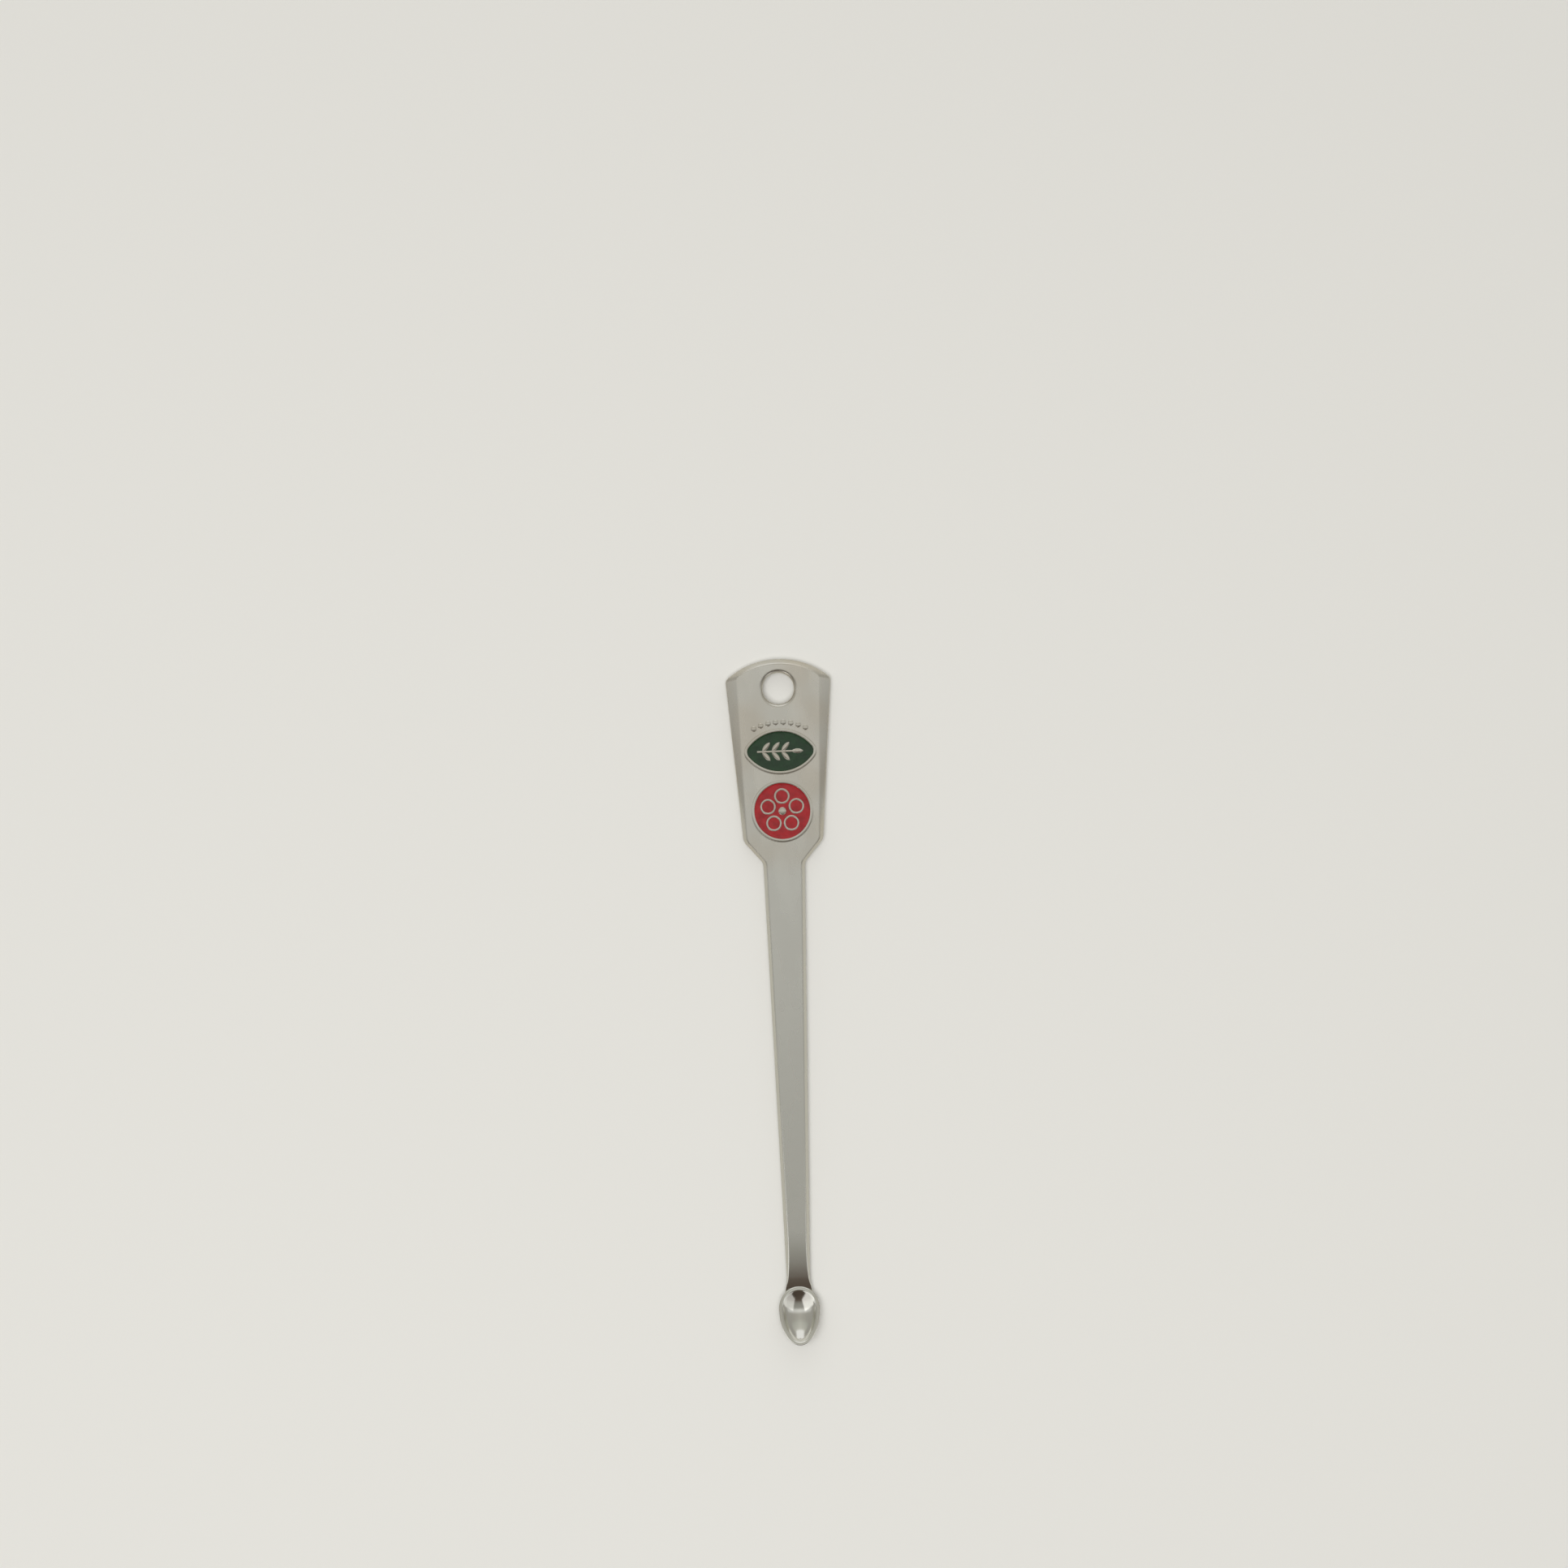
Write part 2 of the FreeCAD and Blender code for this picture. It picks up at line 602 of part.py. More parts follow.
def leaf(body, name, x, turn=None):
    """A leaf between two arcs, out from a point of the twig."""
    sketch = new_sketch(body, f"{name}_sketch", x=x, y="oval_at", height="recess_floor", turn=turn)
    length, half = size("leaf_length"), size("leaf_half_width")
    add_arc(sketch, (0.0, 0.0), (length / 2, -half), (length, 0.0))
    add_arc(sketch, (length, 0.0), (length / 2, half), (0.0, 0.0))
    join_ends(sketch, 2)
    place_point(sketch, 0, 1, None, None)
    place_point(sketch, 0, 2, "leaf_length", None)
    constrain(sketch, "Equal", 0, 1)
    constrain(sketch, "Radius", 0, cell="leaf_side_radius")
    return extrude(body, sketch, name, "line_height")


def raise_twig(body):
    """A twig with pairs of leaves and one at its end, standing on the oval cell's floor."""
    sketch = new_sketch(body, "twig_sketch", y="oval_at", height="recess_floor")
    start, end, half = size("twig_start"), size("twig_end"), size("twig_half")
    corners = [(start, -half), (end, -half), (end, half), (start, half)]
    for here, there in zip(corners, corners[1:] + corners[:1]):
        add_line(sketch, here, there)
    join_ends(sketch, 4)
    for edge, kind in enumerate(("Horizontal", "Vertical", "Horizontal", "Vertical")):
        constrain(sketch, kind, edge)
    place_point(sketch, 0, 1, "twig_start", "-twig_half")
    place_point(sketch, 2, 1, "twig_end", "twig_half")
    extrude(body, sketch, "twig", "line_height")
    leaf(body, "end_leaf", "end_leaf_at")
    for side, turn in (("upper", "leaf_angle"), ("lower", "-leaf_angle")):
        first = leaf(body, f"{side}_leaf", "leaf_start", turn)
        repeat_along(body, f"{side}_leaves", first, "leaf_run", "leaf_pairs")


def raise_beads(body):
    """A row of small beads arched over the oval cell."""
    sketch = new_sketch(body, "bead_sketch", y="bead_centre_at", height="metal_thickness", turn="bead_first_turn")
    add_circle(sketch, "bead_radius", up="bead_row_radius")
    bead = extrude(body, sketch, "bead", "relief_height")
    repeat_round(body, "beads", bead, sketch, "bead_count", "bead_row_angle")


def pierce_hole(body):
    """The hanging hole, rolled over at the front and eased at the back."""
    sketch = new_sketch(body, "hole_sketch", y="hole_at", height="metal_thickness")
    add_circle(sketch, "hole_radius")
    hole = extrude(body, sketch, "hole", "metal_thickness", "Pocket")
    around = 2 * math.pi * size("hole_radius")
    thick = size("metal_thickness")
    front = edges_where(hole, lambda edge: is_level(edge, thick) and abs(edge.Length - around) < 1e-6)
    rolled = round_edges(body, "hole_front", hole, front, "hole_front_round")
    back = edges_where(rolled, lambda edge: is_level(edge, 0.0) and abs(edge.Length - around) < 1e-6)
    chamfer_edges(body, "hole_back", rolled, back, "hole_back_chamfer")


def make_blank():
    """The bare struck form: where all the bar's forms agree, less the bowl, joined to the cup."""
    forms = (make_plan_form(), make_bevel_form(), make_side_form(), make_back_form())
    bar = boolean("MultiCommon", "bar", *forms)
    cup, plug = make_cup()
    neck = boolean("Cut", "trimmed_bar", bar, plug)
    return boolean("MultiFuse", "blank", neck, cup)


def make_pick(blank):
    """The blank with its cells, raised lines and hole: one piece of metal."""
    body = new_body("pick_body")
    body.BaseFeature = blank
    doc.recompute()
    sink_cells(body)
    raise_blossom(body)
    raise_twig(body)
    raise_beads(body)
    pierce_hole(body)
    return body


def fill_cell(name, pick, form, radii):
    """Enamel as the metal leaves it room: a block over the whole cell, less the metal."""
    block = new_body(f"{name}_block")
    form(block, f"{name}_pad", "enamel_block_floor", radii, "enamel_block_height")
    boolean("Cut", name, block, pick)


def check_objects():
    """Stop if any step failed, or if any solid is empty or unsound."""
    for thing in doc.Objects:
        if {"Invalid", "Error"} & set(thing.State):
            raise RuntimeError(f"{thing.Label} did not work out")
        if hasattr(thing, "Shape") and not thing.TypeId.startswith("App"):
            if thing.Shape.isNull() or not thing.Shape.isValid():
                raise RuntimeError(f"{thing.Label} has no sound shape")


def main():
    pick = make_pick(make_blank())
    fill_cell("green_enamel", pick, oval_form, OVAL_BLOCK)
    fill_cell("red_enamel", pick, disc_form, "disc_block_radius")
    check_objects()
    os.makedirs("parts", exist_ok=True)
    for node in NODES:
        thing = doc.getObject(node)
        thing.Label = node
        thing.Shape.exportStep(f"parts/{node}.step")
        print(node, len(thing.Shape.Solids), round(thing.Shape.Volume, 3))


main()
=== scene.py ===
"""Dresses the packed ear pick: a struck silver-coloured bar with a small polished scoop, two cells of
glossy enamel and raised metal lines, lying on a pale table under soft light.

Everything is in metres, in the frame of the packed model: +Y runs up to the tab, +Z faces the front."""

import math

import bmesh
import bpy
from bpy.props import FloatProperty, FloatVectorProperty, IntProperty, PointerProperty
from mathutils import Matrix, Vector
from mathutils.geometry import tessellate_polygon


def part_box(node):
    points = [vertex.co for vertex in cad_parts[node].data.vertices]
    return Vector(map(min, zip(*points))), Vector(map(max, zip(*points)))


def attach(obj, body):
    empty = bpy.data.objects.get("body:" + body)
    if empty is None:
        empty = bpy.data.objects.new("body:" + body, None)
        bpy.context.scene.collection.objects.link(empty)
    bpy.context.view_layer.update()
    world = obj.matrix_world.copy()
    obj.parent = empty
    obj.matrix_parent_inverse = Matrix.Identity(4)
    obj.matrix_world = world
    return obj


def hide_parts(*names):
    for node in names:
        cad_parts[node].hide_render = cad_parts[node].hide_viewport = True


bl_info = {
    "name": "Enamelled ear pick",
    "version": (1, 0, 0),
    "blender": (4, 5, 0),
    "location": "3D Viewport > Sidebar > Ear pick",
    "description": "Builds a metal ear pick with enamel cells and a polished scoop, and its table and light",
    "category": "Add Mesh",
}

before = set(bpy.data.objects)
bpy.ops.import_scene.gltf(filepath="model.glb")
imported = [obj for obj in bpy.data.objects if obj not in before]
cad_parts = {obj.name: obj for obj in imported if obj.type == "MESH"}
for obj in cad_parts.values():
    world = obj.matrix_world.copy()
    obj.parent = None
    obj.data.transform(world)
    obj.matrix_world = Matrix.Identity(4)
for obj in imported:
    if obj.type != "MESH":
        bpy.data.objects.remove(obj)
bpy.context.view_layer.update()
pick_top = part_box("pick_body")[1].y

MM = 0.001
CORNER_STEPS = 6
EDGE_STEPS = 4
SHARP = math.radians(35.0)
RELIEF_SHARP = math.radians(40.0)


def linear(hex_colour):
    """A colour written as six hex digits, as Blender's linear red, green, blue and alpha."""
    parts = [int(hex_colour[i:i + 2], 16) / 255 for i in (0, 2, 4)]
    return tuple(p / 12.92 if p <= 0.04045 else ((p + 0.055) / 1.055) ** 2.4 for p in parts) + (1.0,)


def length(name, description, millimetres):
    """A length that a user may change, given here in millimetres."""
    return FloatProperty(name=name, description=description, default=millimetres * MM, unit="LENGTH", precision=5)


def colour(name, description, hex_colour):
    """A colour that a user may change."""
    return FloatVectorProperty(name=name, description=description, default=linear(hex_colour), size=4,
                               min=0.0, max=1.0, subtype="COLOR")


class BarSizes(bpy.types.PropertyGroup):
    """Sizes of the struck bar: tab, shoulders, stem and neck."""

    top: FloatProperty(name="Top of the arch", description="How far up the tab's arch reaches",
                       default=pick_top, unit="LENGTH", precision=5)
    overall_length: length("Overall length", "From the arch's top to the scoop's tip", 84.96)
    thickness: length("Thickness", "Thickness of the bar", 1.5)
    bevel_height: length("Bevel height", "Height of the bevel round the front", 0.6)
    crease: length("Crease", "How far the polished creases of the bevel are rounded", 0.13)
    back_round: length("Back edge", "Rounding of the back's edges", 0.2)
    tab_length: length("Tab length", "From the arch's top to the tab's foot", 22.5)
    tab_top_width: length("Tab top width", "Width of the tab under the arch", 13.04)
    tab_foot_width: length("Tab foot width", "Width of the tab at the shoulders", 9.88)
    arch_rise: length("Arch rise", "Height of the arch over the tab's corners", 2.5)
    tab_corner: length("Tab corners", "How far the tab's corners are cut back", 0.4)
    shoulder_length: length("Shoulder length", "From the tab's foot down to the stem", 2.75)
    shoulder_corner: length("Shoulder corners", "How far the shoulders' corners are cut back", 0.45)
    stem_top_width: length("Stem top width", "Width of the stem under the shoulders", 5.16)
    neck_width: length("Neck width", "Narrowest width, just above the scoop", 2.85)
    arch_bevel: length("Arch bevel", "Width of the bevel at the arch's top", 0.55)
    arch_corner_bevel: length("Arch corner bevel", "Height of the bevel at the tab's corners", 0.3)
    tab_top_bevel: length("Tab top bevel", "Width of the side bevel under the arch", 1.37)
    tab_foot_bevel: length("Tab foot bevel", "Width of the side bevel at the shoulders", 0.45)
    stem_top_bevel: length("Stem bevel", "Width of the bevel at the top of the stem", 0.42)
    neck_bevel: length("Neck bevel", "Width of the bevel at the neck", 0.4)
    hole_radius: length("Hole radius", "Radius of the hanging hole", 1.95)
    hole_from_top: length("Hole place", "From the arch's top to the hole's middle", 3.65)
    hole_roll: length("Hole roll", "Radius of the hole's rolled front edge", 0.45)
    hole_back: length("Hole chamfer", "Chamfer of the hole at the back", 0.15)
    dip_length: length("Dip length", "Length over which the front dips towards the scoop", 8.3)
    dip: length("Dip", "How far the front dips by the end of that length", 0.96)
    keel_length: length("Keel length", "Length over which the back grows round", 6.8)
    keel_lift: length("Keel lift", "How far the back rises by the end of that length", 0.18)
    flare_length: length("Flare length", "Length over which the neck widens again", 2.7)
    flare_width: length("Flare width", "Width that the flare would reach by its end", 3.95)


class ScoopSizes(bpy.types.PropertyGroup):
    """Sizes of the egg-shaped scoop at the end of the neck."""

    width: length("Width", "Width of the cup over its rim", 5.2)
    depth: length("Depth", "Depth of the cup, outside", 1.6)
    wall: length("Wall", "Thickness of the cup's wall", 0.5)
    tip_reach: length("Tip reach", "From the cup's middle to its tip", 4.46)
    neck_reach: length("Neck reach", "From the cup's middle to its end at the neck", 2.75)
    rim_round: length("Rim rounding", "How far in the rim's outer rounding reaches", 0.24)
    bowl_shift: length("Bowl shift", "How far the bowl's bottom lies from the cup's, towards the tip", 0.75)
    lip_round: length("Lip rounding", "How far out the rim's inner rounding reaches", 0.2)
    tilt: FloatProperty(name="Tilt", description="How far the tip is tilted up", default=math.radians(15.0),
                        subtype="ANGLE")


class CellSizes(bpy.types.PropertyGroup):
    """Sizes of the enamel cells, their rims and the raised lines in them."""

    rim_width: length("Rim width", "Width of the raised rim round a cell", 0.35)
    relief: length("Relief", "How far the lines and rims stand over the tab", 0.1)
    depth: length("Cell depth", "Depth of a cell's floor under the tab's front", 0.35)
    enamel_drop: length("Enamel drop", "How far the enamel lies under the lines' tops", 0.05)
    meniscus: length("Meniscus", "How far the enamel sags between its edges", 0.02)
    oval_from_top: length("Oval place", "From the arch's top to the oval's middle", 11.45)
    oval_length: length("Oval length", "Length of the oval cell", 8.2)
    oval_width: length("Oval width", "Width of the oval cell", 4.9)
    oval_end: length("Oval ends", "Radius of the oval's tight ends", 0.9)
    disc_from_top: length("Disc place", "From the arch's top to the disc's middle", 18.85)
    disc_diameter: length("Disc diameter", "Diameter of the round cell", 6.9)


class LineSizes(bpy.types.PropertyGroup):
    """Sizes of the blossom, the twig and the row of beads."""

    petals: IntProperty(name="Petals", description="How many petals the blossom has", default=5, min=3)
    petal_offset: length("Petal offset", "From the blossom's middle to a petal's", 1.85)
    petal_diameter: length("Petal diameter", "Outer diameter of a ring petal", 1.96)
    petal_line: length("Petal line", "Width of a petal's line", 0.26)
    eye_diameter: length("Eye diameter", "Diameter of the blossom's eye", 1.0)
    twig_line: length("Twig line", "Width of the twig", 0.24)
    leaf_length: length("Leaf length", "Length of a leaf", 1.55)
    leaf_width: length("Leaf width", "Width of a leaf", 0.56)
    leaf_angle: FloatProperty(name="Leaf angle", description="Angle between a leaf and the twig",
                              default=math.radians(48.0), subtype="ANGLE")
    leaf_pitch: length("Leaf pitch", "From one pair of leaves to the next", 1.2)
    leaf_pairs: IntProperty(name="Leaf pairs", description="How many pairs of leaves the twig has", default=3, min=1)
    bead_diameter: length("Bead diameter", "Diameter of a bead", 0.7)
    bead_row_radius: length("Bead row radius", "Radius of the arched row of beads", 7.3)
    bead_row_angle: FloatProperty(name="Bead row angle", description="Angle from the first bead to the last",
                                  default=math.radians(52.0), subtype="ANGLE")
    beads: IntProperty(name="Beads", description="How many beads the row has", default=8, min=2)
    bead_gap: length("Bead gap", "From the oval cell's edge to the middle of the row", 1.15)


class Finishes(bpy.types.PropertyGroup):
    """Colours and gloss of the metal, the enamels and the table."""

    silver: colour("Silver", "Satin silver-coloured plating", "dcdbd4")
    # Painted reflection: the warmer, darker grey that is painted in patches over the tab.
    reflection_tint: colour("Stained silver", "Warmer, duller plating between the raised lines", "cfc4b2")
    green: colour("Green", "Green enamel", "08280d")
    red: colour("Red", "Red enamel", "9b0a14")
    table: colour("Table", "Pale table top", "e6e5e1")
    mirrored: colour("Mirrored table", "Grey that the metal mirrors from below", "d2d0c8")
    satin: FloatProperty(name="Satin", description="Roughness of the tab and stem", default=0.27, min=0.0, max=1.0,
                         subtype="FACTOR")
    polished: FloatProperty(name="Polished", description="Roughness of the scoop", default=0.13, min=0.0, max=1.0,
                            subtype="FACTOR")


GROUPS = {"bar": BarSizes, "scoop": ScoopSizes, "cell": CellSizes, "line": LineSizes, "finish": Finishes}


def settings(group):
    """One group of the sizes and finishes."""
    return getattr(bpy.context.scene, f"ear_pick_{group}")


# Meshes


class Shell:
    """Points and faces of one mesh while it is being made."""

    def __init__(self):
        self.points = []
        self.faces = []

    def ring(self, points):
        """Add points, and give back their numbers."""
        first = len(self.points)
        self.points.extend(Vector(p) for p in points)
        return list(range(first, len(self.points)))

    def strip(self, one, other, closed=True):
        """Join two rings of equal count with quads."""
        count = len(one) if closed else len(one) - 1
        for i in range(count):
            j = (i + 1) % len(one)
            self.faces.append((one[i], one[j], other[j], other[i]))

    def strips(self, rings, closed=True):
        """Join each ring to the next."""
        for one, other in zip(rings, rings[1:]):
            self.strip(one, other, closed)

    def fill(self, loops):
        """Fill a flat outline, less the outlines inside it."""
        flat = [number for loop in loops for number in loop]
        triangles = tessellate_polygon([[self.points[number].xy.to_3d() for number in loop] for loop in loops])
        self.faces.extend(tuple(flat[corner] for corner in triangle) for triangle in triangles)


def finished_object(name, shell, material):
    """An object of the shell: doubles merged, faces outward, smooth but for its sharp edges."""
    mesh = bpy.data.meshes.new(name)
    mesh.from_pydata(shell.points, [], shell.faces)
    work = bmesh.new()
    work.from_mesh(mesh)
    bmesh.ops.remove_doubles(work, verts=work.verts, dist=1e-7)
    bmesh.ops.dissolve_degenerate(work, edges=work.edges, dist=1e-8)
    bmesh.ops.recalc_face_normals(work, faces=work.faces)
    work.to_mesh(mesh)
    work.free()
    mesh.materials.append(material)
    smooth(mesh, SHARP)
    return linked(name, mesh)


def smooth(mesh, sharp):
    """Smooth shading, with an edge kept sharp where the faces turn by more than the angle."""
    mesh.shade_smooth()
    mesh.set_sharp_from_angle(angle=sharp)


def linked(name, mesh):
    """An object of the mesh, in the scene."""
    thing = bpy.data.objects.new(name, mesh)
    bpy.context.scene.collection.objects.link(thing)
    return thing


def eased(before, corner, after, reach, steps):
    """The points of a corner that is cut back by reach on both sides and rounded."""
    before, corner, after = Vector(before), Vector(corner), Vector(after)
    return curve(corner + (before - corner).normalized() * reach, corner,
                 corner + (after - corner).normalized() * reach, steps)


def curve(start, corner, end, steps):
    """The points of a curve from start to end that leaves and arrives along the lines to the corner."""
    turns = [step / steps for step in range(steps + 1)]
    return [start * (1 - t) ** 2 + corner * 2 * t * (1 - t) + end * t**2 for t in turns]


def between(start, end, steps):
    """Points from after start up to before end, evenly spaced."""
    return [start.lerp(end, step / steps) for step in range(1, steps)]


def circle(middle, radius, height, count):
    """Points evenly spaced round a level circle."""
    turns = [2 * math.pi * step / count for step in range(count)]
    return [Vector((middle.x + radius * math.cos(a), middle.y + radius * math.sin(a), height)) for a in turns]


# The struck bar

ARCH_STEPS = 26
SIDE_STEPS = (1, 8, 3, 44, 7)
KEEL_COLUMNS = 10
ROUND_STEPS = 96
ROLL_STEPS = 8
OVAL_END_STEPS = 12
OVAL_SIDE_STEPS = 36
NECK_ABOVE_RIM = 0.65 * MM
BAR_INTO_RIM = 2.05 * MM
DIP_START = 13.5 * MM
KEEL_START = 12.0 * MM
THINNEST_EDGE = 0.12 * MM
THINNEST_BEVEL = 0.05 * MM
NARROWEST_BEVEL = 0.03 * MM
CREASE_SHARE = 0.45
FLAT_MARGIN = 0.06 * MM
RIM_SOFTNESS = 0.05 * MM


def side_outline(corners, arch_rise, arch_foot, cuts):
    """The right side of the outline, from the middle of the arch down to the neck's end."""
    foot = corners[0]
    radius = (foot.x**2 + arch_rise**2) / (2 * arch_rise)
    middle = arch_foot + arch_rise - radius
    full = math.asin(foot.x / radius)
    sweep = full - cuts[0] / radius
    turns = [sweep * step / ARCH_STEPS for step in range(ARCH_STEPS + 1)]
    *points, before = [Vector((radius * math.sin(turn), middle + radius * math.cos(turn))) for turn in turns]
    for number, (corner, cut) in enumerate(zip(corners[:-1], cuts)):
        rounded = eased(before, corner, corners[number + 1], cut, CORNER_STEPS)
        if number:
            points += between(points[-1], rounded[0], SIDE_STEPS[number])
        points += rounded
        before = corner
    points += between(points[-1], corners[-1], SIDE_STEPS[-1])
    return points + [corners[-1]]


def bar_corners(s, inner):
    """The right-hand corners of the outline, or with inner those of the flat front."""
    tab_foot = s.top - s.tab_length
    stem_top = tab_foot - s.shoulder_length
    scoop = settings("scoop")
    cup_at = sharp_tip() + scoop.tip_reach
    rim_end = cup_at + scoop.neck_reach
    neck = rim_end + NECK_ABOVE_RIM
    end = rim_end - BAR_INTO_RIM
    flare = s.neck_width / 2 + (s.flare_width - s.neck_width) / 2 * (neck - end) / s.flare_length
    halves = [s.tab_top_width / 2, s.tab_foot_width / 2, s.stem_top_width / 2, s.neck_width / 2, flare]
    bevels = [s.tab_top_bevel, s.tab_foot_bevel, s.stem_top_bevel, s.neck_bevel, s.neck_bevel]
    levels = [s.top - s.arch_rise, tab_foot, stem_top, neck, end]
    if inner:
        halves = [half - bevel for half, bevel in zip(halves, bevels)]
        levels[0] += s.arch_corner_bevel
    return [Vector(pair) for pair in zip(halves, levels)]


def sharp_tip():
    """Where the scoop's tip would be, were its rim not rounded."""
    bar = settings("bar")
    return bar.top - bar.overall_length


def front_height(s, y):
    """The front is level, then dips towards the scoop."""
    start = sharp_tip() + DIP_START
    fall = max(0.0, (start - y) / s.dip_length)
    return s.thickness - s.dip * fall**2


def cup_radius():
    """The radius across the cup's back."""
    scoop = settings("scoop")
    return ((scoop.width / 2) ** 2 + scoop.depth**2) / (2 * scoop.depth)


def keel_share(s, y):
    """How far the back has grown into the keel: 0 where it is flat, 1 after the keel's length."""
    return max(0.0, (sharp_tip() + KEEL_START - y) / s.keel_length)


def back_height(s, x, y):
    """The back is flat, then grows into a keel with the arc of the cup's own back."""
    share, radius = keel_share(s, y), cup_radius()
    return share * (s.keel_lift + radius - math.sqrt(radius**2 - x**2)) if share else 0.0


def widest(s, y):
    """Where the keel's arc comes up to the front's edge, half the width that the bar can have."""
    share, radius = keel_share(s, y), cup_radius()
    if not share:
        return math.inf
    rise = min((front_height(s, y) - THINNEST_EDGE) / share - s.keel_lift, radius)
    return math.sqrt(2 * radius * rise - rise**2)


def edge_profile(s, bevel, front, back):
    """The section of an edge from the flat front out, down the bevel and wall, and in under the back.
    Each point is how far in it lies, and its height."""
    foot = min(s.thickness - s.bevel_height, front - THINNEST_BEVEL)
    reach = max(bevel * (front - foot) / s.bevel_height, NARROWEST_BEVEL)
    crease = min(s.crease, reach * CREASE_SHARE, (front - foot) * CREASE_SHARE + 0.01 * MM)
    flat, shoulder, wall, heel = (reach + 3 * FLAT_MARGIN, front), (reach, front), (0.0, foot), (0.0, back)
    points = [(reach + crease + FLAT_MARGIN, front)]
    points += [tuple(p) for p in eased(flat, shoulder, wall, crease, EDGE_STEPS)]
    points += [tuple(p) for p in eased(shoulder, wall, heel, crease, EDGE_STEPS)]
    round_back = min(s.back_round, (foot - back) * CREASE_SHARE)
    points += [tuple(p) for p in eased(wall, heel, (1.0, back), round_back, EDGE_STEPS)]
    return points + [(round_back + FLAT_MARGIN, back)]


def make_edge(shell, s, outer, inner, sign):
    """The edge down one side of the bar, as rows of points from the flat front round to the back."""
    rows = []
    for out, flat in zip(outer, inner):
        inward = (flat - out).normalized()
        front = front_height(s, out.y)
        beyond = Vector((max(0.0, out.x - widest(s, out.y)), 0.0))
        out, flat = out - beyond, flat - beyond
        row = []
        for inset, height in edge_profile(s, (flat - out).length, front, back_height(s, out.x, out.y)):
            spot = out + inward * inset
            row.append((sign * spot.x, spot.y, height))
        rows.append(shell.ring(row))
    shell.strips(rows, closed=False)
    return rows


def make_bar(shell):
    """The bar's shell: its edges on both sides, then its front and back with the hole and the cells."""
    s = settings("bar")
    cuts = [s.tab_corner, s.shoulder_corner, s.shoulder_corner, s.tab_corner]
    outer = side_outline(bar_corners(s, False), s.arch_rise, s.top - s.arch_rise, cuts)
    flat_rise = s.arch_rise - s.arch_bevel - s.arch_corner_bevel
    inner = side_outline(bar_corners(s, True), flat_rise, s.top - s.arch_rise + s.arch_corner_bevel, cuts)
    right, left = (make_edge(shell, s, outer, inner, sign) for sign in (1, -1))
    stem_top = s.top - s.tab_length - s.shoulder_length
    split = next(i for i, point in enumerate(outer) if point.y < stem_top - s.shoulder_corner * 1.5)
    hole = Vector((0.0, s.top - s.hole_from_top))
    front_ring, back_ring = make_hole(shell, s, hole)
    cells = make_cells(shell, s)
    head = right[:split + 1] + left[split:0:-1]
    shell.fill([[row[0] for row in head], front_ring, *cells])
    for one in range(split, len(right) - 1):
        shell.faces.append((left[one][0], right[one][0], right[one + 1][0], left[one + 1][0]))
    shell.fill([[row[-1] for row in head], back_ring])
    make_keel(shell, s, left[split:], right[split:])


def make_keel(shell, s, left, right):
    """The back of the stem and neck, and the end that is buried in the scoop's wall."""
    rows = []
    for a, b in zip(left[1:], right[1:]):
        middle = between(shell.points[a[-1]], shell.points[b[-1]], KEEL_COLUMNS)
        for point in middle:
            point.z = back_height(s, point.x, point.y)
        rows.append([a[-1], *shell.ring(middle), b[-1]])
    shell.faces.append((left[0][-1], right[0][-1], *reversed(rows[0])))
    shell.strips(rows, closed=False)
    shell.faces.append(tuple(left[-1][:-1] + rows[-1] + right[-1][-2::-1]))


def make_hole(shell, s, middle):
    """The hole's rolled front edge, its wall and its back chamfer. Gives back its outermost rings."""
    roll = s.hole_roll
    profile = [(s.hole_radius + roll + FLAT_MARGIN, s.thickness)]
    for step in range(ROLL_STEPS + 1):
        turn = math.pi / 2 * step / ROLL_STEPS
        profile.append((s.hole_radius + roll - roll * math.sin(turn), s.thickness - roll + roll * math.cos(turn)))
    profile += [(s.hole_radius, s.hole_back), (s.hole_radius + s.hole_back, 0.0)]
    rings = [shell.ring(circle(middle, radius, height, ROUND_STEPS)) for radius, height in profile]
    shell.strips(rings)
    return rings[0], rings[-1]


def cell_outline(cell, kind, offset, height):
    """The oval's or the disc's edge, moved out by offset."""
    bar = settings("bar")
    if kind == "disc":
        middle = Vector((0.0, bar.top - cell.disc_from_top))
        return circle(middle, cell.disc_diameter / 2 + offset, height, ROUND_STEPS)
    end, half_width = cell.oval_end, cell.oval_width / 2
    end_at = cell.oval_length / 2 - end
    side = (half_width**2 + end_at**2 - end**2) / (2 * (half_width - end))
    drop = side - half_width
    turn = math.atan2(drop, end_at)
    middle_y = bar.top - cell.oval_from_top
    points = []
    arcs = ((end_at, 0.0, end, -turn, turn, OVAL_END_STEPS),
            (0.0, -drop, side, turn, math.pi - turn, OVAL_SIDE_STEPS),
            (-end_at, 0.0, end, math.pi - turn, math.pi + turn, OVAL_END_STEPS),
            (0.0, drop, side, math.pi + turn, 2 * math.pi - turn, OVAL_SIDE_STEPS))
    for x, y, radius, start, stop, steps in arcs:
        for step in range(steps):
            angle = start + (stop - start) * step / steps
            reach = radius + offset
            points.append(Vector((x + reach * math.cos(angle), middle_y + y + reach * math.sin(angle), height)))
    return points


